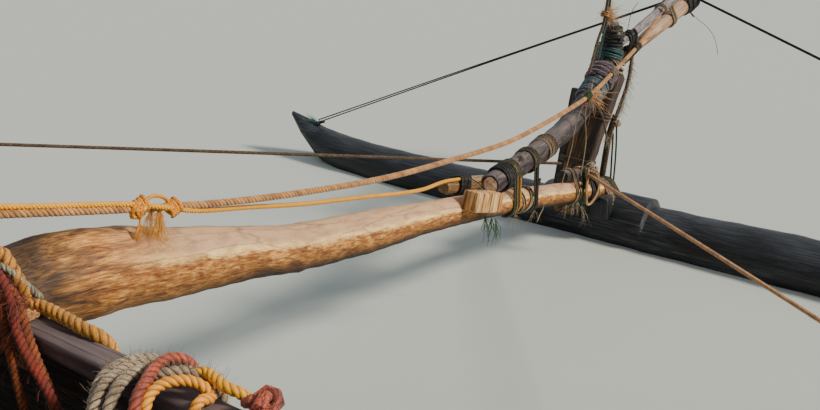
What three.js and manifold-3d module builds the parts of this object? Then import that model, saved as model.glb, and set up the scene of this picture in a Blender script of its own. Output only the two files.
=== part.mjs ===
// A double-ended outrigger sailing canoe: a dugout log raised by sewn planks, two natural-crook
// booms, a single log float, props and stays over the float, and a sprit-rigged square sail.
// Units are millimetres. +X is the bow, +Z is up, and the float lies on -Y. The origin is the
// middle of the hull at the waterline.

import * as THREE from 'three';
import { mergeVertices } from 'three/addons/utils/BufferGeometryUtils.js';
import Module from 'manifold-3d';

const wasm = await Module();
wasm.setup();

// Driving dimensions
const FIT = 0.3; // clearance left between two pieces that bear on each other
const PLANK = 28; // thickness of the washstrakes and the end boards
const RAIL_WIDTH = 62;
const RAIL_DEPTH = 52;
const RAIL_OUTER_Y = 326; // outer edge of the gunwale amidships
const SHEER_LOW = 965; // height of the gunwale's top amidships
const SHEER_RISE = 8e-6; // extra height per square millimetre of distance from amidships
const LOG_WALL = 45;
const FLOAT_Y = -3460;
const FLOAT_AXIS_Z = 30;
const MAST_HEAD_Z = 7500;
const MAST_FOOT_Z = -330;
const MAST_RADIUS = { foot: 66, head: 44 };
const ROPE = { stay: 10.5, brace: 7, black: 6.5, shroud: 7 };
const ROPE_SIDES = 6;

// Height of the gunwale's top at a distance x from amidships
const sheer = (x) => SHEER_LOW + SHEER_RISE * x * x;

// Solids

function toManifold(geometry) {
  const bare = geometry.clone();
  for (const name of ['normal', 'uv']) bare.deleteAttribute(name);
  const merged = mergeVertices(bare, 1e-3);
  return new wasm.Manifold(new wasm.Mesh({
    numProp: 3,
    vertProperties: new Float32Array(merged.attributes.position.array),
    triVerts: new Uint32Array(merged.index.array),
  }));
}

function toGeometry(manifold) {
  const mesh = manifold.getMesh();
  const geometry = new THREE.BufferGeometry();
  geometry.setAttribute('position', new THREE.BufferAttribute(mesh.vertProperties, 3));
  geometry.setIndex(new THREE.BufferAttribute(mesh.triVerts, 1));
  geometry.computeVertexNormals();
  return geometry;
}

// A geometry with every neighbour's space taken out of it
function cut(geometry, neighbours) {
  let solid = toManifold(geometry);
  for (const neighbour of neighbours) solid = solid.subtract(toManifold(neighbour));
  return toGeometry(solid);
}

function join(geometries) {
  return toGeometry(geometries.map(toManifold).reduce((a, b) => a.add(b)));
}

// A closed skin over rings of points, with a fan over each end. Its faces are turned outwards
// by the sign of its volume.
function loft(rings) {
  const count = rings[0].length;
  const points = rings.flat();
  const faces = [];
  for (let i = 0; i + 1 < rings.length; i++) {
    for (let j = 0; j < count; j++) {
      const [a, b] = [i * count + j, i * count + (j + 1) % count];
      faces.push([a, b, b + count], [a, b + count, a + count]);
    }
  }
  for (const [first, order] of [[0, 1], [(rings.length - 1) * count, 0]]) {
    const centre = new THREE.Vector3();
    for (let j = 0; j < count; j++) centre.add(points[first + j]);
    points.push(centre.divideScalar(count));
    for (let j = 0; j < count; j++) {
      const pair = [first + j, first + (j + 1) % count];
      if (order) pair.reverse();
      faces.push([points.length - 1, ...pair]);
    }
  }
  let volume = 0;
  for (const [a, b, c] of faces) {
    volume += points[a].dot(new THREE.Vector3().crossVectors(points[b], points[c]));
  }
  if (volume < 0) faces.forEach((face) => face.reverse());
  const geometry = new THREE.BufferGeometry().setFromPoints(points);
  geometry.setIndex(faces.flat());
  geometry.computeVertexNormals();
  return geometry;
}

// A round timber or rope through rows of [x, y, z, radius], with a corner at its lowest line.
// A positive growth gives the space that the timber takes in a neighbour.
function pole(rows, { sides = 10, stepsPerRow = 2, growth = 0 } = {}) {
  const curve = new THREE.CatmullRomCurve3(rows.map((row) => new THREE.Vector3(...row)));
  const last = rows.length - 1;
  const steps = last * stepsPerRow;
  const grown = growth / Math.cos(Math.PI / sides);
  const rings = [];
  for (let i = 0; i <= steps; i++) {
    const t = i / steps;
    const row = Math.min(Math.floor(t * last), last - 1);
    const radius = THREE.MathUtils.lerp(rows[row][3], rows[row + 1][3], t * last - row) + grown;
    const along = curve.getTangent(t);
    const up = new THREE.Vector3(...(Math.abs(along.z) > 0.95 ? [1, 0, 0] : [0, 0, 1]));
    const side = new THREE.Vector3().crossVectors(along, up).normalize();
    const normal = new THREE.Vector3().crossVectors(side, along);
    const centre = curve.getPoint(t);
    if (i === 0) centre.addScaledVector(along, -growth);
    if (i === steps) centre.addScaledVector(along, growth);
    rings.push(Array.from({ length: sides }, (_, j) => {
      const angle = (2 * Math.PI * j) / sides - Math.PI / 2;
      return centre.clone()
        .addScaledVector(side, radius * Math.cos(angle))
        .addScaledVector(normal, radius * Math.sin(angle));
    }));
  }
  return loft(rings);
}

const rope = (points, radius, growth = 0) =>
  pole(points.map((point) => [...point, radius]), { sides: ROPE_SIDES, growth });

// A box between two corners
function box(low, high, growth = 0) {
  const size = high.map((value, i) => value - low[i] + 2 * growth);
  const centre = high.map((value, i) => (value + low[i]) / 2);
  return new THREE.BoxGeometry(...size).translate(...centre);
}

// A sawn timber through rows of [x, y, z, half width along X, half thickness along Y]
function sawn(rows, growth = 0) {
  const corners = [[-1, -1], [1, -1], [1, 1], [-1, 1]];
  return loft(rows.map(([x, y, z, halfX, halfY], i) => corners.map(([a, b]) => {
    const end = i === 0 ? -growth : i === rows.length - 1 ? growth : 0;
    return new THREE.Vector3(x + a * (halfX + growth), y + b * (halfY + growth), z + end);
  })));
}

// The mirror image fore and aft, with its faces turned back outwards
function mirrorX(geometry) {
  const image = geometry.clone().scale(-1, 1, 1);
  const index = image.index.array.slice();
  for (let i = 0; i < index.length; i += 3) [index[i], index[i + 1]] = [index[i + 1], index[i]];
  image.setIndex(new THREE.BufferAttribute(index, 1));
  image.computeVertexNormals();
  return image;
}

// Finishes: colour and roughness
const FINISHES = {
  hullTimber: ['#3d3533', 0.75],
  railTimber: ['#5a4a4c', 0.6],
  boomTimber: ['#a27b52', 0.7],
  barkPole: ['#45404a', 0.8],
  propTimber: ['#54402f', 0.8],
  paleTimber: ['#c0a67c', 0.8],
  floatTimber: ['#24252b', 0.45],
  outerTimber: ['#a8703f', 0.6],
  sparTimber: ['#9a7c52', 0.6],
  coir: ['#b79a6c', 0.9],
  brownCord: ['#70502f', 0.9],
  blackCord: ['#1d2025', 0.8],
  sailcloth: ['#6b3f28', 0.9],
};

const canoe = new THREE.Group();

function addPiece(name, geometry, finish, parent = canoe) {
  const [color, roughness] = FINISHES[finish];
  const mesh = new THREE.Mesh(geometry, new THREE.MeshStandardMaterial({ color, roughness, metalness: 0 }));
  mesh.name = name;
  parent.add(mesh);
}

// Hull sections from amidships to the bow; the stern is their mirror image.
// Columns: x, keel z, height of the widest line, half breadth there, top z, half breadth of the top
const HULL_SECTIONS = [
  [0, -450, 100, 400, 540, 312],
  [1800, -440, 100, 390, 540, 306],
  [3000, -380, 120, 340, 550, 262],
  [3900, -260, 170, 255, 570, 190],
  [4350, -130, 220, 190, 590, 138],
  [4700, 30, 310, 125, 618, 88],
  [5000, 300, 450, 52, 650, 36],
];
const STEM_ROW = 4; // the row where the planks end
const BELOW_STEPS = 5; // corners between the keel and the widest line, on each side
const ABOVE_STEPS = 3; // corners between the widest line and the top edge

const bothEnds = (rows) => [
  ...rows.slice(1).reverse().map(([x, ...rest]) => [-x, ...rest]),
  ...rows,
];

// One section, inside the skin by a wall or outside it by a negative one: a quarter ellipse up to
// the widest line, then a gentle curve in to the top
function hullRing([x, keel, belly, breadth, top, topBreadth], wall) {
  const rise = top - belly + Math.max(0, -wall);
  const half = [];
  for (let i = 1; i <= BELOW_STEPS; i++) {
    const angle = (Math.PI / 2) * (i / BELOW_STEPS);
    half.push([(breadth - wall) * Math.sin(angle), belly - (belly - keel - wall) * Math.cos(angle)]);
  }
  for (let i = 1; i <= ABOVE_STEPS; i++) {
    const t = i / ABOVE_STEPS;
    half.push([breadth - wall + (topBreadth - breadth) * t * t, belly + rise * t]);
  }
  const port = half.map(([y, z]) => new THREE.Vector3(x, y, z));
  const starboard = half.map(([y, z]) => new THREE.Vector3(x, -y, z)).reverse();
  return [new THREE.Vector3(x, 0, keel + wall), ...port, ...starboard];
}

const hullSkin = (growth = 0) => loft(bothEnds(HULL_SECTIONS).map((row) => hullRing(row, -growth)));

// The hollow stops at the row where the planks end and stands out above the log's top edge
const HOLLOW_TOP = 100;
function hullHollow(wall) {
  const rows = bothEnds(HULL_SECTIONS.slice(0, STEM_ROW));
  return loft(rows.map((row) => {
    const ring = hullRing(row, wall);
    const [portTop, starboardTop] = [BELOW_STEPS + ABOVE_STEPS, BELOW_STEPS + ABOVE_STEPS + 1];
    const above = [portTop, starboardTop].map((i) => ring[i].clone().add(new THREE.Vector3(0, 0, HOLLOW_TOP)));
    return [...ring.slice(0, portTop + 1), ...above, ...ring.slice(starboardTop)];
  }));
}

addPiece('dugout_log', cut(hullSkin(), [hullHollow(LOG_WALL)]), 'hullTimber');
const logSpace = cut(hullSkin(FIT), [hullHollow(LOG_WALL + FIT)]);

// Rails and planks share the log's stations, so that their edges lie along each other
const RAIL_END_Y = 150; // outer edge of the gunwale where it meets the end board
const STEM_X = HULL_SECTIONS[STEM_ROW][0];
const railOuter = (x) =>
  RAIL_END_Y + (RAIL_OUTER_Y - RAIL_END_Y) * (1 - Math.abs(x / STEM_X) ** 3.5) ** 0.8;
const plankRows = bothEnds(HULL_SECTIONS.slice(0, STEM_ROW + 1));
const RAIL_CORNER = 12;

function railRing(x, side, growth = 0) {
  const [outer, top] = [railOuter(x), sheer(x)];
  const [w, d, c] = [RAIL_WIDTH / 2 + growth, RAIL_DEPTH / 2 + growth, RAIL_CORNER];
  const outline = [[w, c - d], [w, d - c], [w - c, d], [c - w, d], [-w, d - c], [-w, c - d], [c - w, -d], [w - c, -d]];
  return outline.map(([y, z]) => new THREE.Vector3(
    x, side * (outer - RAIL_WIDTH / 2 + y), top - RAIL_DEPTH / 2 + z));
}

function rail(side, growth = 0) {
  return loft(plankRows.map(([x], i) => {
    const end = i === 0 ? -growth : i === plankRows.length - 1 ? growth : 0;
    return railRing(x, side, growth).map((point) => point.setX(x + end));
  }));
}

function washstrake(side, growth = 0) {
  const inset = (RAIL_WIDTH - PLANK) / 2;
  return loft(plankRows.map(([x, , , , top, topBreadth]) => {
    const [foot, head] = [top + FIT, sheer(x) - RAIL_DEPTH - FIT];
    const [footOuter, headOuter] = [topBreadth + growth, railOuter(x) - inset + growth];
    const thickness = PLANK + 2 * growth;
    return [[footOuter, foot], [headOuter, head], [headOuter - thickness, head], [footOuter - thickness, foot]]
      .map(([y, z]) => new THREE.Vector3(x, side * y, z));
  }));
}

for (const [side, word] of [[1, 'port'], [-1, 'starboard']]) {
  addPiece(`washstrake_${word}`, washstrake(side), 'hullTimber');
  addPiece(`gunwale_${word}`, rail(side), 'railTimber');
}

// The boards that close the ends stand on the log and cover the planks' ends
const END_BOARD = { halfFoot: 150, halfHead: 168, above: 55 };
const endBoardX = STEM_X + FIT;
const endBoard = cut(sawn([
  [endBoardX + PLANK / 2, 0, 480, PLANK / 2, END_BOARD.halfFoot],
  [endBoardX + PLANK / 2, 0, sheer(STEM_X) + END_BOARD.above, PLANK / 2, END_BOARD.halfHead],
]), [hullSkin(FIT)]);
addPiece('end_board_bow', endBoard, 'railTimber');
addPiece('end_board_stern', mirrorX(endBoard), 'railTimber');

const railSpace = [rail(1, FIT), rail(-1, FIT)];

// Outrigger booms: natural trunks, thick where they cross the gunwales and thin at the float. Each
// is notched over the gunwales, so that they pass through its lower half.
// Columns: x, y, z, radius
const BOOM = [
  [1800, 560, 1010, 80],
  [1800, 305, 1004, 88],
  [1798, 0, 1000, 93],
  [1795, -310, 1000, 97],
  [1768, -430, 995, 104],
  [1750, -560, 974, 99],
  [1745, -700, 933, 89],
  [1750, -930, 865, 76],
  [1770, -1190, 778, 69],
  [1795, -1490, 700, 70],
  [1800, -1940, 603, 56],
  [1802, -2520, 466, 48.5],
  [1810, -3050, 322, 47],
  [1815, -3540, 189, 42],
];
const boom = (growth = 0) => pole(BOOM, { sides: 12, growth });
const NOTCH = { fromX: 1650, toX: 1950, innerY: 254, outerY: 321, bottom: 850, top: 960 };
const notches = [1, -1].map((side) => box(
  [NOTCH.fromX, side > 0 ? NOTCH.innerY : -NOTCH.outerY, NOTCH.bottom],
  [NOTCH.toX, side > 0 ? NOTCH.outerY : -NOTCH.innerY, NOTCH.top]));

// Float outline; the other end is its mirror image. Columns: x, half breadth, top z, bottom z.
// The raised saddle that the boom is let into shows as two steps in the top.
const SADDLE = { inner: 1560, outer: 2110, height: 38 };
const FLOAT_SECTIONS = [
  [0, 139, 200, -78],
  [1000, 139, 188, -82],
  [SADDLE.inner - 6, 139, 168, -104],
  [SADDLE.inner + 6, 139, 168 + SADDLE.height, -104],
  [SADDLE.outer - 6, 137, 156 + SADDLE.height, -112],
  [SADDLE.outer + 6, 137, 156, -112],
  [2600, 134, 147, -115],
  [3100, 122, 147, -100],
  [3400, 105, 162, -60],
  [3570, 82, 184, 0],
  [3700, 50, 222, 115],
  [3790, 12, 245, 215],
];
const FLOAT_SIDES = 14;

function floatLog(growth = 0) {
  return loft(bothEnds(FLOAT_SECTIONS).map(([x, half, top, bottom]) => {
    const middle = Math.max(FLOAT_AXIS_Z, (top + bottom) / 2);
    return Array.from({ length: FLOAT_SIDES }, (_, j) => {
      const angle = (2 * Math.PI * j) / FLOAT_SIDES - Math.PI / 2;
      const height = Math.sin(angle) > 0 ? top - middle : middle - bottom;
      return new THREE.Vector3(
        x,
        FLOAT_Y + (half + growth) * Math.cos(angle),
        middle + (height + growth) * Math.sin(angle));
    });
  }));
}

addPiece('float', cut(floatLog(), [boom(FIT), mirrorX(boom(FIT))]), 'floatTimber');

// The pieces at the end of the fore boom, as makers that take a growth.
// Round timbers have columns x, y, z, radius; sawn ones x, y, z, half width, half thickness.
const CHOCK_SLOPE = 0.33; // radians, the fall of the boom where the chock is lashed to it
const timbers = {
  post: (growth) => sawn([
    [1932, -3335, 95, 66, 37],
    [1927, -3415, 340, 65, 36],
    [1904, -3506, 590, 74, 42],
    [1887, -3560, 735, 80, 46],
    [1903, -3590, 790, 57, 32],
    [1903, -3615, 880, 56, 31],
  ], growth),
  slim_upright: (growth) => sawn([
    [2026, -3385, 120, 26, 17],
    [2012, -3440, 440, 22, 15],
    [2000, -3475, 676, 18, 14],
  ], growth),
  seat_block: (growth) => box([1720, -3372, 112], [1806, -3304, 226], growth),
  packing_log: (growth) => pole([
    [1826, -3030, 402, 31],
    [1828, -3200, 356, 31],
    [1830, -3365, 314, 30],
  ], { sides: 8, growth }),
  brace_pole: (growth) => pole([
    [1797, -2350, 592, 43],
    [1803, -2590, 598, 44],
    [1808, -2800, 611, 45],
    [1812, -3040, 650, 46],
    [1814, -3225, 728, 46],
    [1812, -3385, 838, 47],
    [1806, -3412, 935, 42],
    [1802, -3398, 1022, 30],
  ], { growth }),
  chock: (growth) => new THREE.BoxGeometry(64 + 2 * growth, 195 + 2 * growth, 72 + 2 * growth)
    .rotateX(CHOCK_SLOPE).translate(1728, -2180, 598),
  stub: (growth) => pole([
    [1862, -2120, 642, 27],
    [1858, -2260, 610, 29],
    [1854, -2400, 578, 27],
  ], { sides: 8, growth }),
  outer_pole: (growth) => pole([
    [1838, -3470, 800, 22],
    [1822, -3660, 846, 25],
    [1800, -3950, 912, 34],
    [1775, -4270, 1002, 46],
  ], { growth }),
  companion_pole: (growth) => pole([
    [1806, -3445, 905, 17],
    [1800, -3660, 943, 19],
    [1795, -3940, 998, 21],
    [1780, -4230, 1066, 21],
  ], { sides: 8, growth }),
};

// What each timber bears on, in the order in which they are fitted
const BEARS_ON = {
  post: ['boom', 'float'],
  slim_upright: ['float', 'post'],
  seat_block: ['boom', 'float'],
  packing_log: ['boom', 'post'],
  brace_pole: ['boom', 'post', 'packing_log'],
  chock: ['boom', 'brace_pole'],
  stub: ['boom', 'brace_pole', 'chock'],
  outer_pole: ['post', 'brace_pole'],
  companion_pole: ['post', 'brace_pole', 'outer_pole'],
};
const TIMBER_FINISH = {
  post: 'propTimber',
  slim_upright: 'propTimber',
  seat_block: 'floatTimber',
  packing_log: 'barkPole',
  brace_pole: 'barkPole',
  chock: 'paleTimber',
  stub: 'barkPole',
  outer_pole: 'outerTimber',
  companion_pole: 'paleTimber',
};

const space = (name) => {
  if (name === 'boom') return boom(FIT);
  if (name === 'float') return floatLog(FIT);
  return timbers[name](FIT);
};

// The bitt that the coir stay is made fast to stands in the hull against the boom
const BITT = { x: 1675, y: 120, halfWidth: 34, head: 1430 };
const bitt = (growth = 0) => box(
  [BITT.x - BITT.halfWidth, BITT.y - BITT.halfWidth, -200],
  [BITT.x + BITT.halfWidth, BITT.y + BITT.halfWidth, BITT.head], growth);

// Both ends of the canoe carry the same outrigger pieces
const bow = { suffix: 'fore', turn: (geometry) => geometry };
const stern = { suffix: 'aft', turn: mirrorX };

for (const { suffix, turn } of [bow, stern]) {
  addPiece(`boom_${suffix}`, turn(cut(boom(), [...railSpace, ...notches])), 'boomTimber');
  for (const [name, bearings] of Object.entries(BEARS_ON)) {
    addPiece(`${name}_${suffix}`, turn(cut(timbers[name](0), bearings.map(space))), TIMBER_FINISH[name]);
  }
}

// Bitts stand on the floor of the log and lean on the booms
const bittFitted = cut(bitt(), [boom(FIT), logSpace]);
addPiece('bitt_fore', bittFitted, 'hullTimber');
addPiece('bitt_aft', mirrorX(bittFitted), 'hullTimber');

// Thwarts lie across the gunwales; the middle one holds the mast.
// Columns: name, x, half width, overhang of the ends beyond the gunwale
const THWART_THICKNESS = 38;
const THWARTS = [
  ['thwart_fore', 3000, 95, 30],
  ['thwart_mid', 0, 150, 60],
  ['thwart_aft', -3000, 95, 30],
];
const mastPole = (growth = 0) => pole([
  [0, 0, MAST_FOOT_Z, MAST_RADIUS.foot],
  [0, 0, SHEER_LOW, MAST_RADIUS.foot],
  [0, 0, MAST_HEAD_Z, MAST_RADIUS.head],
], { sides: 12, stepsPerRow: 1, growth });
const mastRadiusAt = (z) => THREE.MathUtils.mapLinear(
  z, SHEER_LOW, MAST_HEAD_Z, MAST_RADIUS.foot, MAST_RADIUS.head);

for (const [name, x, halfWidth, overhang] of THWARTS) {
  const reach = railOuter(x) + overhang;
  const foot = sheer(x) - 6;
  const plank = box([x - halfWidth, -reach, foot], [x + halfWidth, reach, foot + THWART_THICKNESS]);
  addPiece(name, cut(plank, [...railSpace, mastPole(FIT)]), 'railTimber');
}

const stepBlock = box([-170, -120, -420], [170, 120, -270]);
addPiece('mast_step', cut(stepBlock, [mastPole(FIT), logSpace]), 'hullTimber');
addPiece('mast', mastPole(), 'sparTimber');

// Stays and braces. Each ends against the timber that it is made fast to.
const poleHead = [1776, -4248, 1022];
const stays = {
  shroud: {
    finish: 'blackCord', radius: ROPE.shroud, ends: ['brace_pole'],
    points: [[18, -36, 7380], [920, -1720, 4130], [1824, -3392, 900]],
  },
  coir_stay: {
    finish: 'coir', radius: ROPE.stay, ends: ['outer_pole', 'companion_pole'],
    points: [
      [BITT.x, BITT.y, 1350], [1702, -60, 1290], [1700, -275, 1225], [1700, -587, 1123], [1700, -1157, 987],
      [1700, -1700, 878], [1710, -2260, 804], [1722, -2760, 771], [1738, -3160, 829], [1758, -3615, 902],
      [1794, -3950, 1000],
    ],
  },
  float_stay: {
    finish: 'blackCord', radius: ROPE.black, ends: ['outer_pole'],
    points: [poleHead, [2698, -3854, 618], [3620, -3460, 206]],
  },
  bow_brace: {
    finish: 'brownCord', radius: ROPE.brace, ends: ['post'],
    points: [[1975, -3325, 345], [3170, -1735, 638], [endBoardX + PLANK / 2, -140, 930]],
  },
};

for (const { suffix, turn } of [bow, stern]) {
  for (const [name, { finish, radius, ends, points }] of Object.entries(stays)) {
    const neighbours = ends.map(space);
    if (name === 'shroud') neighbours.push(mastPole(FIT));
    if (name === 'coir_stay') neighbours.push(bitt(FIT));
    if (name === 'float_stay') neighbours.push(floatLog(FIT));
    if (name === 'bow_brace') neighbours.push(endBoard);
    addPiece(`${name}_${suffix}`, turn(cut(rope(points, radius), neighbours)), finish);
  }
}

// Long diagonals: two cross between the booms and the hull, one runs back to the float
const boomSpaces = [boom(FIT), mirrorX(boom(FIT))];
const diagonals = [
  ['hull_brace_fore', 'coir', ROPE.brace, [[1816, -3312, 292], [350, -1820, 636], [-1120, -302, 950]]],
  ['hull_brace_aft', 'coir', ROPE.brace, [[-1816, -3312, 276], [-430, -1806, 572], [950, -302, 945]]],
  ['cross_stay', 'blackCord', ROPE.black, [poleHead, [168, -3854, 588], [-1440, -3460, 162]]],
];
for (const [name, finish, radius, points] of diagonals) {
  const neighbours = [...boomSpaces, ...railSpace, floatLog(FIT), space('outer_pole')];
  addPiece(name, cut(rope(points, radius), neighbours), finish);
}

// The rig turns about the mast: a sprit, the square sail and the two rope loops that hold them
const rig = new THREE.Group();
canoe.add(rig);
const spritPole = (growth = 0) => pole([
  [-105, -14, 1440, 36],
  [-2290, 4, 5140, 42],
  [-4480, 40, 8860, 26],
], { growth });

// Each loop is one ring about the mast and one about what it holds, with their ropes crossing.
// Columns: name, height, centre of the held ring, inner radius of the held ring, rope radius
const LOOPS = [
  ['snotter_loop', 1500, [-141, -14], 37, 12],
  ['throat_loop', 7150, [-79, 27], 11, 9],
];
const LOOP_PLAY = 0.6;
const LOOP_SEGMENTS = 24;

function mastLoop(z, [heldX, heldY], heldInner, ropeRadius) {
  const inner = (mastRadiusAt(z) + LOOP_PLAY) / Math.cos(Math.PI / LOOP_SEGMENTS);
  const ring = (radius) => new THREE.TorusGeometry(radius + ropeRadius, ropeRadius, 6, LOOP_SEGMENTS);
  return join([ring(inner).translate(0, 0, z), ring(heldInner).translate(heldX, heldY, z)]);
}

// Sail corners, its belly to leeward, and its thickness
const SAIL = {
  tack: [-98, 30, 1800], throat: [-84, 30, 7230], clew: [-3900, 150, 2040], peak: [-4300, 67.2, 8640],
  belly: 420, thickness: 10, steps: 8,
};

function sailPoint(u, v, offset) {
  const corner = (name) => new THREE.Vector3(...SAIL[name]);
  const luff = corner('tack').lerp(corner('throat'), v);
  const leech = corner('clew').lerp(corner('peak'), v);
  const point = luff.lerp(leech, u);
  point.y += SAIL.belly * Math.sin(Math.PI * u) * Math.sin(Math.PI * (0.1 + 0.8 * v)) + offset;
  return point;
}

// The sail's cloth: a slab of steps by steps panels bent onto its surface
function sailSolid(growth = 0) {
  const { steps, thickness } = SAIL;
  const slab = new THREE.BoxGeometry(1, 1, thickness + 2 * growth, steps, steps, 1);
  const { position } = slab.attributes;
  for (let i = 0; i < position.count; i++) {
    const [u, v, offset] = [position.getX(i) + 0.5, position.getY(i) + 0.5, position.getZ(i)];
    position.setXYZ(i, ...sailPoint(u, v, offset));
  }
  return toGeometry(toManifold(slab));
}

addPiece('sprit', spritPole(), 'sparTimber', rig);
addPiece('sail', sailSolid(), 'sailcloth', rig);
for (const [name, ...shape] of LOOPS) {
  addPiece(name, cut(mastLoop(...shape), [spritPole(FIT), sailSolid(FIT)]), 'coir', rig);
}

// Steering oar on the lee quarter: it turns about its shaft in a rope ring on a bar
const OAR = { head: [-3720, 440, 1790], foot: [-4180, 440, -650], shaft: 27, blade: 165, bladeLength: 1050 };
const oarHead = new THREE.Vector3(...OAR.head);
const oarLine = oarHead.clone().sub(new THREE.Vector3(...OAR.foot));
const oarLength = oarLine.length();
const steering = new THREE.Group();
steering.position.copy(oarHead);
steering.quaternion.setFromUnitVectors(new THREE.Vector3(0, 0, 1), oarLine.normalize());
steering.updateMatrix();
canoe.add(steering);

const BAR = { x: -3768, halfLength: 520, radius: 36 };
const barZ = sheer(BAR.x) + BAR.radius - 3;
const RING = { down: (OAR.head[2] - barZ) / oarLine.z, tube: 11, play: 4, collar: 40 };
const bladeOutline = new THREE.Shape();
bladeOutline.moveTo(OAR.shaft, -oarLength + OAR.bladeLength);
bladeOutline.bezierCurveTo(
  OAR.blade, -oarLength + OAR.bladeLength - 120, OAR.blade, -oarLength + 250, OAR.blade * 0.8, -oarLength);
bladeOutline.lineTo(-OAR.blade * 0.8, -oarLength);
bladeOutline.bezierCurveTo(
  -OAR.blade, -oarLength + 250, -OAR.blade, -oarLength + OAR.bladeLength - 120, -OAR.shaft, -oarLength + OAR.bladeLength);
bladeOutline.closePath();
const BLADE_THICKNESS = 30;
const blade = new THREE.ExtrudeGeometry(bladeOutline, { depth: BLADE_THICKNESS, bevelEnabled: false, curveSegments: 6 })
  .translate(0, 0, -BLADE_THICKNESS / 2).rotateX(Math.PI / 2);
const shaft = pole([[0, 0, -oarLength + 300, 24], [0, 0, -RING.down, OAR.shaft], [0, 0, 0, 22]], { sides: 12 });
const collar = pole([
  [0, 0, -RING.down + RING.tube + FIT, RING.collar], [0, 0, -RING.down + 60, RING.collar],
], { sides: 12, stepsPerRow: 1 });
const tiller = pole([[0, 20, -60, 18], [0, -330, -60, 16]], { sides: 8, stepsPerRow: 1 });
addPiece('steering_oar', join([blade, shaft, collar, tiller]), 'sparTimber', steering);

const oarRing = (growth = 0) =>
  new THREE.TorusGeometry(OAR.shaft + RING.play + RING.tube, RING.tube + growth, 8, 20).translate(0, 0, -RING.down);
addPiece('oar_ring', oarRing(), 'coir', steering);

const steeringBar = pole([
  [BAR.x, -BAR.halfLength * 0.6, barZ, BAR.radius], [BAR.x, BAR.halfLength, barZ, BAR.radius],
]);
const ringSpace = oarRing(FIT).applyMatrix4(steering.matrix);
addPiece('steering_bar', cut(steeringBar, [...railSpace, ringSpace]), 'railTimber');

// Leeboard on the lee side: it swings aft and up on a peg through the block that spaces it out
const LEEBOARD = { x: 900, innerY: 424, thickness: 36, halfWidth: 210, below: 1350, above: 110 };
const PEG = { radius: 17, play: 0.8, head: 34, headDepth: 22, z: 925 };
const leeboard = new THREE.Group();
leeboard.position.set(LEEBOARD.x, 0, PEG.z);
canoe.add(leeboard);

const boardOutline = new THREE.Shape();
boardOutline.moveTo(-130, LEEBOARD.above);
boardOutline.lineTo(130, LEEBOARD.above);
boardOutline.lineTo(LEEBOARD.halfWidth, 120 - LEEBOARD.below);
boardOutline.quadraticCurveTo(LEEBOARD.halfWidth, -LEEBOARD.below, 90, -LEEBOARD.below);
boardOutline.lineTo(-90, -LEEBOARD.below);
boardOutline.quadraticCurveTo(-LEEBOARD.halfWidth, -LEEBOARD.below, -LEEBOARD.halfWidth, 120 - LEEBOARD.below);
boardOutline.closePath();
const board = new THREE.ExtrudeGeometry(boardOutline, { depth: LEEBOARD.thickness, bevelEnabled: false, curveSegments: 5 })
  .rotateX(Math.PI / 2).translate(0, LEEBOARD.innerY + LEEBOARD.thickness, 0);
const outerFace = LEEBOARD.innerY + LEEBOARD.thickness;
const pegAlongY = (from, to, radius) =>
  new THREE.CylinderGeometry(radius, radius, to - from, 16).translate(0, (from + to) / 2, 0);
const pegHole = pegAlongY(LEEBOARD.innerY - 20, outerFace + 20, PEG.radius + PEG.play);
addPiece('leeboard', cut(board, [pegHole]), 'railTimber', leeboard);

const block = join([
  box([-75, 296, -52], [75, LEEBOARD.innerY - 1, 62]),
  pegAlongY(LEEBOARD.innerY - 20, outerFace + 10, PEG.radius),
  pegAlongY(outerFace + 1, outerFace + PEG.headDepth, PEG.head),
]);
const intoBlock = (geometry) => geometry.translate(-LEEBOARD.x, 0, -PEG.z);
const strakeSpace = washstrake(1, FIT);
addPiece('leeboard_block', cut(block, [intoBlock(rail(1, FIT)), intoBlock(strakeSpace)]), 'railTimber', leeboard);

export default canoe;
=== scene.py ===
# %% [markdown]
# # A double-ended outrigger sailing canoe
# The real canoe is a fishing boat of the Indian Ocean: a dugout log raised by planks that are sewn
# on with coir, and one log float held out to starboard by two booms that grew in that bend. Nothing
# in it is bolted, so rope is half of what the eye meets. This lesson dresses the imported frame, piece
# by piece, and each shape is a surface worked out with numpy.

# %% Load the frame
from functools import partial

import bpy
import numpy as np
from mathutils import Matrix, Vector


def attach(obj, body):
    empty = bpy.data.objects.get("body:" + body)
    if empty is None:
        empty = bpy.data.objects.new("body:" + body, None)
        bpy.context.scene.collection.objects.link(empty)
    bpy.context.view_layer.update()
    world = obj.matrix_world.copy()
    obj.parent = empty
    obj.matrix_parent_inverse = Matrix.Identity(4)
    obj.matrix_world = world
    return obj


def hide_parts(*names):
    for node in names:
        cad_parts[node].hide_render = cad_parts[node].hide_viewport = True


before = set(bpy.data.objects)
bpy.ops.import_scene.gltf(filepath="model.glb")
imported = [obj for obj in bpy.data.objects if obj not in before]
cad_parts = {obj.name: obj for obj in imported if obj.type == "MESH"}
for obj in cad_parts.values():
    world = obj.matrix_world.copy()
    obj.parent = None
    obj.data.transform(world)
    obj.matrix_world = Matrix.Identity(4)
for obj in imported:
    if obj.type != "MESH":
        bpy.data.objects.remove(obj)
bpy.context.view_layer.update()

# %% [markdown]
# ## The camera
# The photograph is taken from aboard, standing on the port side and looking over the outrigger. Its
# lens and place were worked out from the horizon and from the way that the float and the gunwale
# run together. A camera in Blender looks down its own -Z, so a quaternion turns -Z to the view line.

# %% Place the camera
FOCAL_PIXELS, IMAGE_WIDTH, SENSOR_WIDTH = 1000.0, 820, 36.0
EYE = Vector((0.0, 0.74, 2.0))
LOOK_DOWN, LOOK_TURN = np.radians(22.73), np.radians(54.89)

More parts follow.
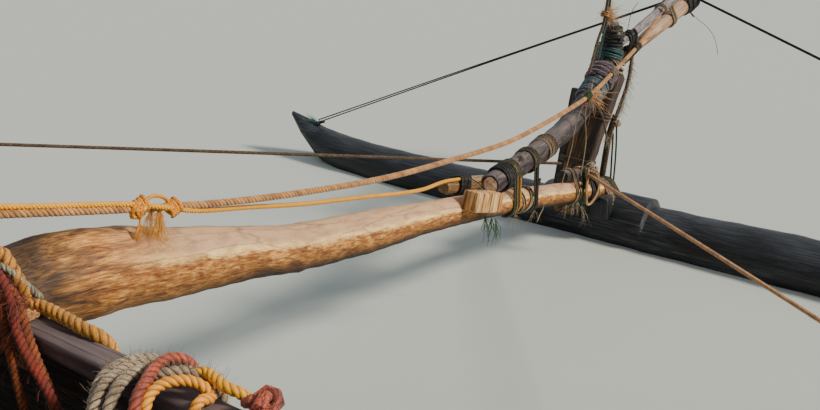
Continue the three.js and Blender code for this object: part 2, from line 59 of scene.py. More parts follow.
view_line = Vector((
    np.cos(LOOK_TURN) * np.cos(LOOK_DOWN), -np.sin(LOOK_TURN) * np.cos(LOOK_DOWN), -np.sin(LOOK_DOWN)))
camera = bpy.data.objects.new("camera", bpy.data.cameras.new("camera"))
camera.data.sensor_width = SENSOR_WIDTH
camera.data.lens = FOCAL_PIXELS / IMAGE_WIDTH * SENSOR_WIDTH
camera.matrix_world = Matrix.Translation(EYE) @ view_line.to_track_quat("-Z", "Y").to_matrix().to_4x4()
bpy.context.scene.collection.objects.link(camera)
bpy.context.scene.camera = camera
print(f"lens {camera.data.lens:.1f} mm")

# %% [markdown]
# ## Colours and nodes
# Finishes are easiest to match when each colour is written as it looks on a screen, so one function
# turns a hex colour to the linear light that shaders work in. A second adds a node with its settings
# and links. A third starts an empty material and gives back that function for its own tree, as `put`,
# which keeps a recipe down to one line a node.

# %% Helpers for materials
def linear(colour):
    """An sRGB hex colour as linear RGBA: c / 12.92 at the dark end, else ((c + 0.055) / 1.055) ** 2.4."""
    srgb = np.array([int(colour[i:i + 2], 16) for i in (1, 3, 5)]) / 255
    light = np.where(srgb <= 0.04045, srgb / 12.92, ((srgb + 0.055) / 1.055) ** 2.4)
    return (*light.tolist(), 1.0)


def add(tree, kind, links=None, values=None, stops=(), **settings):
    """Adds a node: settings are its properties, values and links fill its sockets, stops its ramp.

    A link comes from a socket, or from a node, which then gives its first output.
    """
    node = tree.nodes.new("ShaderNode" + kind)
    for name, value in settings.items():
        setattr(node, name, value)
    for name, value in (values or {}).items():
        node.inputs[name].default_value = value
    for name, source in (links or {}).items():
        socket = source.outputs[0] if isinstance(source, bpy.types.Node) else source
        tree.links.new(socket, node.inputs[name])
    for i, (position, colour) in enumerate(stops):
        ramp = node.color_ramp.elements
        stop = ramp[i] if i < 2 else ramp.new(position)
        stop.position, stop.color = position, linear(colour)
    return node


def empty_material(name):
    """A new material with no nodes in it yet, and `add` for its tree."""
    material = bpy.data.materials.new(name)
    material.use_nodes = True
    material.node_tree.nodes.clear()
    return material, partial(add, material.node_tree)


print("mid grey #808080 is", round(linear("#808080")[0], 3), "in linear light")

# %% [markdown]
# ## Floor and light
# The canoe stands in a plain studio, and the floor lies at its waterline. The picture's sun comes low
# over the camera's right shoulder. A sun lamp with a wide disc gives the same direction with soft
# edges to its shadows, and a pale world fills them.

# %% Build the floor and the lights
FLOOR_HALF = 400.0
SUN_FROM, SUN_DISC = Vector((-0.8, -0.28, 0.62)), np.radians(10)
SUN_POWER, SUN_COLOUR, SKY_POWER = 4.5, (1.0, 0.9, 0.76), 0.58

floor_mesh = bpy.data.meshes.new("floor")
corners = [(-FLOOR_HALF, -FLOOR_HALF, 0), (FLOOR_HALF, -FLOOR_HALF, 0),
           (FLOOR_HALF, FLOOR_HALF, 0), (-FLOOR_HALF, FLOOR_HALF, 0)]
floor_mesh.from_pydata(corners, [], [(0, 1, 2, 3)])
floor = bpy.data.objects.new("floor", floor_mesh)
bpy.context.scene.collection.objects.link(floor)
# Matt floor paint: a pale grey green that stays quiet under the boat
floor_paint, put = empty_material("matt floor paint")
paint = put("BsdfPrincipled", values={"Base Color": linear("#bfc6c1"), "Roughness": 0.85})
put("OutputMaterial", {"Surface": paint})
floor_mesh.materials.append(floor_paint)

sun = bpy.data.objects.new("sun", bpy.data.lights.new("sun", "SUN"))
sun.data.energy, sun.data.angle, sun.data.color = SUN_POWER, SUN_DISC, SUN_COLOUR
sun.rotation_mode = "QUATERNION"
sun.rotation_quaternion = SUN_FROM.to_track_quat("Z", "Y")
bpy.context.scene.collection.objects.link(sun)

world = bpy.data.worlds.new("pale studio")
bpy.context.scene.world = world
world.use_nodes = True
world.node_tree.nodes["Background"].inputs["Color"].default_value = linear("#dfe8ee")
world.node_tree.nodes["Background"].inputs["Strength"].default_value = SKY_POWER
print("floor at the waterline, sun disc", round(float(np.degrees(SUN_DISC))), "degrees")

# %% [markdown]
# ## Surfaces from arrays
# Timber and rope are both a cross-section carried along a path, so two functions make nearly every
# piece: `spline` draws the path through a few measured points, and `sweep` sets a section at each
# step along it. The same step stores where a point lies in the straightened timber, so that wood
# grain can follow a bent trunk.

# %% Helpers for paths
ALONG, ACROSS, UP = (1, 0, 0), (0, 1, 0), (0, 0, 1)


def unit(vectors):
    """Vectors over their lengths."""
    return vectors / np.linalg.norm(vectors, axis=-1, keepdims=True)


def mm(rows):
    """Rows measured in millimetres, as metres."""
    return np.array(rows) / 1000


def travelled(path):
    """Distance along a path at each of its points: the running sum of its steps."""
    steps = np.linalg.norm(np.diff(path[..., :3], axis=-2), axis=-1)
    return np.concatenate([np.zeros((*steps.shape[:-1], 1)), np.cumsum(steps, axis=-1)], axis=-1)


def spline(rows, spacing):
    """A centripetal Catmull-Rom curve through rows of x, y, z and more, sampled about evenly.

    Between knots 1 and 2 it is the cubic with those ends and with slopes weighed by the square
    roots of the gaps on either side.
    """
    rows = np.asarray(rows, float)
    knots = np.vstack([2 * rows[0] - rows[1], rows, 2 * rows[-1] - rows[-2]])
    gaps = np.linalg.norm(np.diff(knots[:, :3], axis=0), axis=1)[:, None] ** 0.5
    way = travelled(rows)
    count = max(2, int(np.ceil(way[-1] / spacing))) + 1
    place = np.interp(np.linspace(0, way[-1], count), way, np.arange(len(rows)))
    i = np.minimum(place.astype(int), len(rows) - 2)
    t = (place - i)[:, None]
    p0, p1, p2, p3 = (knots[i + k] for k in range(4))
    g0, g1, g2 = (gaps[i + k] for k in range(3))
    slope1 = g1 * ((p1 - p0) / g0 - (p2 - p0) / (g0 + g1) + (p2 - p1) / g1)
    slope2 = g1 * ((p2 - p1) / g1 - (p3 - p1) / (g1 + g2) + (p3 - p2) / g2)
    return (p1 * (2 * t**3 - 3 * t**2 + 1) + slope1 * (t**3 - 2 * t**2 + t)
            + p2 * (3 * t**2 - 2 * t**3) + slope2 * (t**3 - t**2))


def evenly(path, spacing, bevel=None):
    """The same line in even steps, by straight interpolation against the distance travelled.

    A bevel adds one step at that distance from each end.
    """
    way = travelled(path)
    at = np.linspace(0, way[-1], max(3, int(np.ceil(way[-1] / spacing)) + 1))
    if bevel:
        at = np.union1d(at, [bevel, way[-1] - bevel])
    return np.stack([np.interp(at, way, column) for column in path.T], axis=-1)


def sweep(path, across, reference=UP):
    """Sets section (x, y) at each path point: point = path + x * side + y * normal.

    side is along x reference, and normal is side x along. Returns the points and, for the grain,
    x, y and the distance travelled.
    """
    along = unit(np.gradient(path, axis=-2))
    side = unit(np.cross(along, reference))
    normal = np.cross(side, along)
    points = (path[..., None, :] + across[..., :1] * side[..., None, :]
              + across[..., 1:] * normal[..., None, :])
    across = np.broadcast_to(across, (*points.shape[:-1], 2))
    way = np.broadcast_to(travelled(path)[..., None, None], (*points.shape[:-1], 1))
    return points, np.concatenate([across, way], axis=-1)


quarter = spline([(1, 0, 0), (0.7071, 0.7071, 0), (0, 1, 0)], 0.01)
print(f"a quarter circle through three points: {travelled(quarter)[-1]:.3f} m; pi / 2 is {np.pi / 2:.3f}")

# %% [markdown]
# ## From skins to a mesh
# A piece is one or more closed skins, each a grid of points with the straightened place beside it.
# `piece` turns them into one mesh, which is quick, because a lashing of twenty cords is then a single
# object. Nearly all of the outrigger is there twice, fore and aft, so `twins` makes the mirror image.

# %% Helpers for pieces
SHARP_ANGLE = np.radians(48)  # an edge sharper than this is drawn as a corner
tally = {}


def mirrored(skins):
    """The same skins at the other end of the canoe: x changes sign."""
    return [(points * (-1, 1, 1), grain, finish) for points, grain, finish in skins]


def piece(name, skins, body="canoe", stands_for=()):
    """One mesh from closed skins of (points, grain, finish); points run (..., ring, side, xyz).

    Neighbouring rings are joined by quads, and each skin's two end rings are closed by one face.
    A skin whose signed volume is negative is turned inside out.
    """
    vertices, grains, faces, finishes, smooth = [], [], [], [], []
    materials = list(dict.fromkeys(finish for _, _, finish in skins))
    first = 0
    for points, grain, finish in skins:
        rings, sides = points.shape[-3:-1]
        index = first + np.arange(points[..., 0].size).reshape(-1, rings, sides)
        around = np.roll(index, -1, axis=2)
        quads = np.stack([index[:, :-1], index[:, 1:], around[:, 1:], around[:, :-1]], axis=-1)
        quads = quads.reshape(-1, 4)
        caps = np.concatenate([index[:, 0], index[:, -1, ::-1]])
        flat = points.reshape(-1, 3)
        a, b, c, d = (flat[quads[:, k] - first] - flat[0] for k in range(4))
        if np.sum(a * (np.cross(b, c) + np.cross(c, d))) < 0:
            quads, caps = quads[:, ::-1], caps[:, ::-1]
        faces += quads.tolist() + caps.tolist()
        smooth += [True] * len(quads) + [False] * len(caps)
        finishes += [materials.index(finish)] * (len(quads) + len(caps))
        vertices.append(flat)
        grains.append(grain.reshape(-1, 3))
        first += len(flat)
    mesh = bpy.data.meshes.new(name)
    mesh.from_pydata(np.concatenate(vertices).tolist(), [], faces)
    mesh.polygons.foreach_set("use_smooth", smooth)
    for material in materials:
        mesh.materials.append(material)
    mesh.polygons.foreach_set("material_index", finishes)
    mesh.set_sharp_from_angle(angle=SHARP_ANGLE)
    mesh.attributes.new("grain", "FLOAT_VECTOR", "POINT").data.foreach_set(
        "vector", np.concatenate(grains).astype(np.float32).ravel())
    made = bpy.data.objects.new(name, mesh)
    bpy.context.scene.collection.objects.link(made)
    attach(made, body)
    if stands_for:
        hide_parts(*stands_for)
    triangles = sum(len(face) - 2 for face in faces)
    tally[name] = triangles
    print(f"{name}: {triangles} triangles")
    return made


def twins(name, skins, solid=None, words=("fore", "aft")):
    """A piece for one end of the canoe and its mirror image for the other, each for its end's solid."""
    for word, own in zip(words, (skins, mirrored(skins))):
        piece(f"{name}_{word}", own, stands_for=[f"{solid}_{word}"] if solid else ())


print("edges sharper than", round(float(np.degrees(SHARP_ANGLE))), "degrees are drawn as corners")

# %% [markdown]
# ## Timber sections
# A pole that is cut from the wild is never truly round. Its radius swells and shrinks by a few
# percent, and a knot stands out where a branch was. A sawn board has flat faces and corners worn
# round, and where an adze has been over it no face is quite flat.

# %% Helpers for timber
def timber(rows, finish, sides=28, spacing=0.02, rough=0.02, knots=(), seed=1, reference=UP):
    """A wild pole through rows of x, y, z, radius.

    Radius is multiplied by 1 plus a few slow waves round and along it, plus a bell for each knot of
    (distance, angle, height, width), and drops by a tenth at the sawn ends.
    """
    path = spline(rows, spacing)
    way = travelled(path)[:, None]
    angle = np.linspace(0, 2 * np.pi, sides, endpoint=False)
    random = np.random.default_rng(seed)
    swell = np.ones((len(path), sides))
    for turns_round, wave in ((1, 0.9), (2, 0.45), (3, 0.22), (5, 0.09)):
        phase = random.uniform(0, 2 * np.pi)
        swell += rough / 2 * np.sin(turns_round * angle + 2 * np.pi * way / wave + phase)
    for distance, direction, height, width in knots:
        off = np.angle(np.exp(1j * (angle - direction))) * path[:, 3:4]
        swell += height / path[:, 3:4] * np.exp(-(off**2 + (way - distance) ** 2) / width**2)
    swell *= 1 - 0.1 * np.exp(-np.minimum(way, way[-1] - way) / 0.005)
    radius = path[:, 3:4] * swell
    across = np.stack([radius * np.cos(angle), radius * np.sin(angle)], axis=-1)
    return (*sweep(path[:, :3], across, reference), finish)


def board_outline():
    """The outline of a board as signs S and directions U: point = S * (half size - corner) + corner * U."""
    signs, directions, corner_steps = [], [], 4
    corner_signs = np.array([[1, 1], [-1, 1], [-1, -1], [1, -1]], float)
    for k in range(4):
        angle = np.linspace(0, np.pi / 2, corner_steps) + k * np.pi / 2
        signs.append(np.repeat(corner_signs[k:k + 1], corner_steps, axis=0))
        directions.append(np.stack([np.cos(angle), np.sin(angle)], axis=-1))
        share = np.array([[0.04], [0.35], [0.65], [0.96]])
        signs.append(corner_signs[k] * (1 - share) + corner_signs[(k + 1) % 4] * share)
        directions.append(np.repeat(directions[-1][-1:], 4, axis=0))
    return np.concatenate(signs), np.concatenate(directions)


def board(rows, finish, corner=0.006, spacing=0.04, hewn=0.0, seed=1, reference=UP):
    """A board through rows of x, y, z, half width, half thickness, with round corners.

    Hewn is the depth in metres of slow dents, so that no face is quite flat. The end rings are
    drawn in by half a corner. Three more columns give the direction of the thickness at each row.
    """
    path = evenly(np.asarray(rows, float), spacing, bevel=corner)
    way = travelled(path)[:, None]
    signs, directions = board_outline()
    ends = np.exp(-np.minimum(way, way[-1] - way) / 0.002)[..., None] * corner / 2
    half = path[:, None, 3:5] - corner - ends
    around = np.linspace(0, 2 * np.pi, len(signs), endpoint=False)
    random = np.random.default_rng(seed)
    dents = sum(np.sin(k * around + 2 * np.pi * way / wave + random.uniform(0, 6))
                for k, wave in ((3, 0.31), (5, 0.17), (8, 0.11))) * hewn / 3
    across = signs * half + directions * (corner + dents[..., None])
    return (*sweep(path[:, :3], across, path[:, 5:] if path.shape[1] > 5 else reference), finish)


print("points round a board:", len(board_outline()[0]))

# %% [markdown]
# ## Rope sections
# Rope has three strands, and they show as three lobes that turn as the rope goes along. A lashing is
# a thin cord drawn tight round timbers, a knot is a trefoil of cord, and a worn end is a brush of
# single fibres. There are hundreds of them, so each has only as many faces as the eye can tell.

# %% Helpers for rope
def reference_for(path):
    """The axis that a path runs least along, to hold its sections steady."""
    return np.eye(3)[np.argmin(np.abs(path[-1] - path[0]))]


def cord(path, radius, finish, strands=3, sides=9, lay=3.8, rings=7, reference=None):
    """A laid rope on a path: radius * (0.66 + 0.34 |cos(strands / 2 * (angle + turn))|).

    The turn goes once round in a lay of so many radii, and the grain turns with it, so that the
    strands show. Both ends draw in to a round nose. With no strands the section is round.
    """
    step = lay * radius / rings if strands else radius * 1.8
    path = evenly(np.asarray(path, float), step)
    way = travelled(path)[:, None]
    angle = np.linspace(0, 2 * np.pi, sides, endpoint=False)
    turned = angle + 2 * np.pi * way / (lay * radius)
    lobes = 0.66 + 0.34 * np.abs(np.cos(strands / 2 * turned))
    size = radius * (lobes if strands else np.ones_like(lobes))
    size = size * (1 - 0.55 * np.exp(-np.minimum(way, way[-1] - way) / radius))
    across = np.stack([size * np.cos(angle), size * np.sin(angle)], axis=-1)
    reference = reference_for(path) if reference is None else reference
    points, _ = sweep(path, across, reference)
    grain = np.stack([radius * np.cos(turned), radius * np.sin(turned), np.broadcast_to(way, turned.shape)],
                     axis=-1)
    return points, grain, finish


def rope(points, radius, finish, **shape):
    """A laid rope on a smooth curve through a few points."""
    return cord(spline(points, 0.01), radius, finish, **shape)


def belt(axis, circles, turns, radius, finish, pitch=None, wander=0.25, seed=1, sides=6):
    """A cord drawn tight round timbers that run along an axis.

    Each circle is a point and a radius. At each angle the cord lies on the circle that reaches
    furthest that way, so between two circles it runs straight. It climbs by its pitch each turn.
    """
    axis = unit(np.asarray(axis, float))
    side = unit(np.cross(axis, reference_for(np.stack([np.zeros(3), axis]))))
    up = np.cross(side, axis)
    centres = np.array([point for point, _ in circles], float)
    radii = np.array([size for _, size in circles])[:, None]
    flat = np.stack([centres @ side, centres @ up])
    angle = np.linspace(0, 2 * np.pi * turns, int(64 * turns) + 1)
    out = np.stack([np.cos(angle), np.sin(angle)])
    widest = np.argmax(flat.T @ out + radii, axis=0)
    place = flat[:, widest] + (radii[widest, 0] + radius) * out
    random = np.random.default_rng(seed)
    pitch = 2 * radius if pitch is None else pitch
    climb = pitch * (angle / (2 * np.pi) - turns / 2)
    climb = climb + wander * radius * np.sin(angle * 0.37 + random.uniform(0, 6))
    start = np.mean(centres @ axis)
    path = place[0][:, None] * side + place[1][:, None] * up + (start + climb)[:, None] * axis
    return cord(path, radius, finish, strands=0, sides=sides, reference=axis)


def knot(centre, size, radius, finish, tilt=0.0):
    """A knot seen from outside: a trefoil of cord, turned about Y by its tilt.

    It is size / 3 * ((2 + cos 3t) cos 2t, (2 + cos 3t) sin 2t, 1.6 sin 3t).
    """
    t = np.linspace(0, 2 * np.pi * 0.985, 90)
    reach = 2 + np.cos(3 * t)
    ring = np.stack([reach * np.cos(2 * t), reach * np.sin(2 * t), 1.6 * np.sin(3 * t)], axis=-1) * size / 3
    turn = np.array([[np.cos(tilt), 0, np.sin(tilt)], [0, 1, 0], [-np.sin(tilt), 0, np.cos(tilt)]])
    path = np.asarray(centre) + ring @ turn.T
    return cord(path, radius, finish, strands=0, sides=7, reference=turn[:, 2])


def fibres(roots, direction, length, count, radius, spread, droop, finish, seed=1):
    """Loose fibres: root + size * (t * (direction + spread * chance) - droop * t^2 * up), with a curl.

    Size is the length times a chance from 0.45 to 1, and t runs from 0 to 1 in few steps.
    """
    rings, sides = 5, 3
    random = np.random.default_rng(seed)
    t = np.linspace(0, 1, rings)[None, :, None]
    roots = np.asarray(roots, float).reshape(-1, 3)
    start = roots[random.integers(0, len(roots), count)][:, None]
    heading = np.asarray(direction, float) + spread * random.normal(size=(count, 1, 3))
    size = length * random.uniform(0.45, 1.0, (count, 1, 1))
    curl = 0.08 * size * np.sin(t * random.uniform(2, 9, (count, 1, 3)) + random.uniform(0, 6, (count, 1, 3)))
    path = start + size * t * heading + curl * t - np.array(UP) * droop * size * t**2
    angle = np.linspace(0, 2 * np.pi, sides, endpoint=False)
    thin = radius * (1 - 0.7 * t[..., 0])[..., None]
    across = np.broadcast_to(np.stack([thin * np.cos(angle), thin * np.sin(angle)], axis=-1),
                             (count, rings, sides, 2))
    return (*sweep(path, across, (0.3, 0.5, 0.81)), finish)


metre_of_rope = rope([(0, 0, 0), (0.5, 0, 0), (1, 0, 0)], 0.01, None)[0]
print("points in a metre of 20 mm rope:", metre_of_rope[..., 0].size)

# %% [markdown]
# ## Timber finishes
# Every timber here is bare wood that sun, salt and hands have worn. Wood grain is a noise that is
# drawn out many times longer than it is wide, and cracks are the cell edges of a stretched Voronoi
# pattern. Both read the straightened place in the `grain` attribute. Slower patches carry the
# bleaching, and faces that look up are greyer, because the sky reaches them.

# %% Recipe for weathered timber
STREAK_TILT = 0.3  # how far a streak moves the edge of the worn colour, as a share of the normal's Z
INBOARD_SHADE_EDGE, INBOARD_SHADE_SHARE = 0.25, 0.92  # metres by which the patches move the edge of the painted inboard shade; how deep it is
BARK_EDGE, BARK_SHARE = 0.03, 0.9  # the same for bark


def timber_finish(name, colours, worn, worn_share=0.5, grain_mm=(5, 160), patch_mm=90, crack_mm=(38, 520),
                  crack=0.55, rough=(0.55, 0.85), relief=0.0016, contrast=0.16, mottle="#6f6152",
                  facing=(0.35, 0.95), sunlit_ridge=None, inboard_shade=None, underside_shade=None, bark=None):
    """Weathered wood: three grain colours, darker patches, dark cracks and a worn colour on top.

    Sizes are pairs in millimetres, across and along the grain. The worn colour comes in as the
    normal's Z, roughened by the streaks, goes from the first to the second value of facing. Inboard
    shade is two colours of painted shade that lie over the wood up to the first of two distances
    along it and are gone at the second; the worn colour begins there and is full at the third.
    Underside shade is a colour of painted shade for the faces that look down, with the distances
    along the wood where it begins and is full. Sunlit ridge is a painted highlight that takes the
    worn colour's place up to the first of two values of the normal's Z, and is gone at the second.
    Bark is two colours that lie over the wood where it reaches further across than the first value,
    in metres.
    """
    material, put = empty_material(name)
    where = put("Attribute", attribute_name="grain").outputs["Vector"]
    place = put("SeparateXYZ", {"Vector": where})
    distance = place.outputs["Z"]
    sky = put("SeparateXYZ", {"Vector": put("NewGeometry").outputs["Normal"]}).outputs["Z"]
    across, along = (1000 / size for size in grain_mm)
    fine = put("Mapping", {"Vector": where}, {"Scale": (across, across, along)})
    streak = put("TexNoise", {"Vector": fine},
                 {"Scale": 1, "Detail": 5, "Roughness": 0.62, "Distortion": 0.5})
    wood = put("ValToRGB", {"Fac": streak},
               stops=((0.5 - contrast, colours[0]), (0.5 + contrast, colours[2]), (0.5, colours[1])))
    slow = 1000 / patch_mm
    broad = put("Mapping", {"Vector": where}, {"Scale": (slow, slow, slow / 3)})
    patch = put("TexNoise", {"Vector": broad},
                {"Scale": 1, "Detail": 4, "Roughness": 0.65, "Distortion": 0.8})
    shade = put("ValToRGB", {"Fac": patch}, stops=((0.38, mottle), (0.58, "#ffffff")))
    wood = put("MixRGB", {"Color1": wood, "Color2": shade}, {"Fac": 0.8}, blend_type="MULTIPLY")

    # The worn colour, on the faces that look up; half a tilt is what the streaks add on average
    half_tilt = STREAK_TILT / 2
    rough_z = put("Math", {0: streak, 2: sky}, {1: STREAK_TILT}, operation="MULTIPLY_ADD")
    upward = put("MapRange", {"Value": rough_z},
                 {"From Min": facing[0] + half_tilt, "From Max": facing[1] + half_tilt,
                  "To Max": 2 * worn_share})
    bleach = put("Math", {0: upward, 1: patch}, operation="MULTIPLY", use_clamp=True)
    # The worn colour keeps off the inboard end, where the painted shade lies
    if inboard_shade:
        reached = put("MapRange", {"Value": distance}, {"From Min": inboard_shade[1], "From Max": inboard_shade[2]})
        bleach = put("Math", {0: bleach, 1: reached}, operation="MULTIPLY")
    # A painted highlight along the sunlit ridge, at the lower edge of the worn colour
    low, high, polished = sunlit_ridge or (*facing, worn)
    tone = put("ValToRGB", {"Fac": rough_z}, stops=((low + half_tilt, polished), (high + half_tilt, worn)))
    wood = put("MixRGB", {"Fac": bleach, "Color1": wood, "Color2": tone})

    def overlay(measure, ragged, ends, shares, dark, light):
        """Two colours of the same streaks over the wood, from one share to another between two ends."""
        moved = put("Math", {0: patch, 2: measure}, {1: ragged}, operation="MULTIPLY_ADD")
        share = put("MapRange", {"Value": moved},
                    {"From Min": ends[0], "From Max": ends[1], "To Min": shares[0], "To Max": shares[1]})
        layer = put("ValToRGB", {"Fac": streak}, stops=((0.36, dark), (0.64, light)))
        return put("MixRGB", {"Fac": share, "Color1": wood, "Color2": layer})

    # Painted shade over the boom's inboard end near the hull, in two dark colours of the streaks
    if inboard_shade:
        ends = (inboard_shade[0] + 0.12, inboard_shade[1] + 0.12)
        wood = overlay(distance, INBOARD_SHADE_EDGE, ends, (INBOARD_SHADE_SHARE, 0.0), *inboard_shade[3:])
    if bark:
        ends = (bark[0] + 0.012, bark[0] + 0.02)
        wood = overlay(place.outputs["X"], BARK_EDGE, ends, (0.0, BARK_SHARE), *bark[1:])

    # Cracks: the edges of long cells, bent by a noise
    across, along = (1000 / size for size in crack_mm)
    split = put("Mapping", {"Vector": where}, {"Scale": (across, across, along)})
    bent = put("TexNoise", {"Vector": split}, {"Scale": 0.8, "Detail": 3})
    wavy = put("VectorMath", {0: split, 1: bent.outputs["Color"]}, operation="ADD")
    edge = put("TexVoronoi", {"Vector": wavy}, {"Scale": 1}, feature="DISTANCE_TO_EDGE")
    gap = put("ValToRGB", {"Fac": edge}, stops=((0.0, "#2a211c"), (0.035, "#ffffff")))
    wood = put("MixRGB", {"Color1": wood, "Color2": gap}, {"Fac": crack}, blend_type="MULTIPLY")
    # Painted shade on the faces that look down, coming in along the wood from the first distance to the
    # second
    if underside_shade:
        below = put("MapRange", {"Value": sky}, {"From Min": 0.0, "From Max": -0.7})
        reached = put("MapRange", {"Value": distance}, {"From Min": underside_shade[0], "From Max": underside_shade[1]})
        share = put("Math", {0: below, 1: reached}, operation="MULTIPLY")
        wood = put("MixRGB", {"Fac": share, "Color1": wood}, {"Color2": linear(underside_shade[2])},
                   blend_type="MULTIPLY")
    height = put("MixRGB", {"Color1": streak, "Color2": gap}, {"Fac": 0.5}, blend_type="MULTIPLY")
    bump = put("Bump", {"Height": height}, {"Strength": 0.9, "Distance": relief})
    gloss = put("MapRange", {"Value": patch},
                {"From Min": 0.3, "From Max": 0.7, "To Min": rough[0], "To Max": rough[1]})
    shader = put("BsdfPrincipled", {"Base Color": wood, "Normal": bump, "Roughness": gloss},
                 {"IOR": 1.5, "Specular IOR Level": 0.4})
    put("OutputMaterial", {"Surface": shader})
    return material


print("streaks move the worn colour's edge by up to", STREAK_TILT / 2)

# %% [markdown]
# ## The timbers on board
# Hardly two timbers on this canoe are of one kind. The boom is a golden peeled trunk with a painted
# highlight along its sunlit ridge, the poles still have their bark, the float is tarred, and the hull
# is black with oil. Each finish is the same recipe with its own grain, cracks and colours.

# %% Mix the timber finishes
# Peeled trunk: golden, mottled along the grain, ash-pale on top, with a painted highlight along the
# sunlit ridge and painted shade underneath and on the inboard end
peeled_trunk = timber_finish(
    "peeled boom trunk", ("#7c4d22", "#c4853f", "#efbd7a"), "#c9a582", 0.85, grain_mm=(4.5, 30), patch_mm=30,
    crack_mm=(55, 620), crack=0.4, contrast=0.19, mottle="#906849", facing=(0.2, 0.42),
    sunlit_ridge=(0.38, 0.56, "#ffdc96"), inboard_shade=(0.95, 1.05, 1.3, "#241a14", "#55412f"),
    underside_shade=(1.0, 1.6, "#42321f"))
# Bark-skinned pole: grey-purple bark with a matt, papery surface
bark_skin = timber_finish(
    "bark-skinned pole", ("#211b1a", "#40373a", "#746864"), "#7f7775", 0.5, grain_mm=(6, 70), patch_mm=45,
    mottle="#4a4448", relief=0.0028)
# Bark-edged slab: brown heartwood with strong straight grain, and dark bark left on along one edge
bark_slab = timber_finish(
    "bark-edged heartwood slab", ("#33220f", "#7a5630", "#a27a48"), "#72604a", 0.3, grain_mm=(7, 300),
    patch_mm=60, mottle="#4d3c30", relief=0.003, bark=(0.026, "#1c1413", "#4c3b36"))
# Sawn softwood: light tan with dark growth rings, newly cut
sawn_softwood = timber_finish(
    "sawn softwood block", ("#85582c", "#d2a368", "#f0ca92"), "#d8b88e", 0.3, grain_mm=(14, 400),
    patch_mm=80, crack=0.2, contrast=0.1, mottle="#a58a6c", relief=0.002)
# Soaked log: tarred blue-black above, brown where the tar has gone, wet enough to shine
soaked_log = timber_finish(
    "soaked tarred log", ("#15161a", "#272a30", "#4b4f57"), "#3c4148", 0.4, grain_mm=(9, 260), patch_mm=160,
    crack_mm=(50, 800), mottle="#5b4a3c", rough=(0.28, 0.55), relief=0.003)
# Smooth pole: bark long gone, tan to orange, slightly polished by rope
smooth_pole = timber_finish(
    "rope-polished pole", ("#845738", "#bd9470", "#dcbb9e"), "#d0b9a4", 0.45, grain_mm=(5, 200), patch_mm=70,
    mottle="#7d604c", rough=(0.4, 0.65))
# End grain: the pale sawn face of a pole that is grey outside, with painted light, so a face in shade looks
# sunlit
sunlit_end_grain = timber_finish(
    "sawn end grain", ("#b8977a", "#ecd6bc", "#fff2e0"), "#efe0ca", 0.2, grain_mm=(9, 9), patch_mm=30,
    crack_mm=(30, 30), crack=0.35, mottle="#bca690")
# Driftwood: silver grey, dry and lightly furred
driftwood = timber_finish(
    "bleached driftwood pole", ("#565152", "#857c7d", "#aba2a3"), "#a49c9e", 0.4, grain_mm=(5, 150),
    patch_mm=60, mottle="#85807d")
# Hull timber: planks oiled year after year, nearly black, brown at the edges
oiled_hull = timber_finish(
    "oiled hull plank", ("#231c1a", "#3b302c", "#5c4c42"), "#5f5450", 0.5, grain_mm=(8, 420), patch_mm=200,
    crack_mm=(70, 1600), mottle="#6e625c", rough=(0.45, 0.7), relief=0.002)
# Rail timber: purple brown, rubbed smooth by lines and hands, with a few long shakes
rubbed_rail = timber_finish(
    "rubbed rail timber", ("#453a3b", "#5f5151", "#7b6a66"), "#746769", 0.6, grain_mm=(7, 380), patch_mm=130,
    crack_mm=(40, 1500), crack=0.7, mottle="#8d817c", rough=(0.4, 0.62), relief=0.0015)
# Spar timber: pale straight poles, varnished long ago
worn_spar = timber_finish(
    "worn spar timber", ("#6e5230", "#9b7b50", "#bf9f72"), "#a8977f", 0.3, grain_mm=(6, 500), patch_mm=180,
    mottle="#8c7a63", rough=(0.4, 0.65))
print("timber finishes:", len(bpy.data.materials) - 1)

# %% [markdown]
# ## Rope finishes
# Coir is coconut fibre: hairy, pale gold, never glossy. The cords from the net lockers are twisted
# plastic, so they are stronger in colour and a little shiny. One recipe serves both, with a short
# noise along the rope for the fibres and a slow one for dirt.

# %% Recipe for rope
DIRT_MM = 1000 / 14


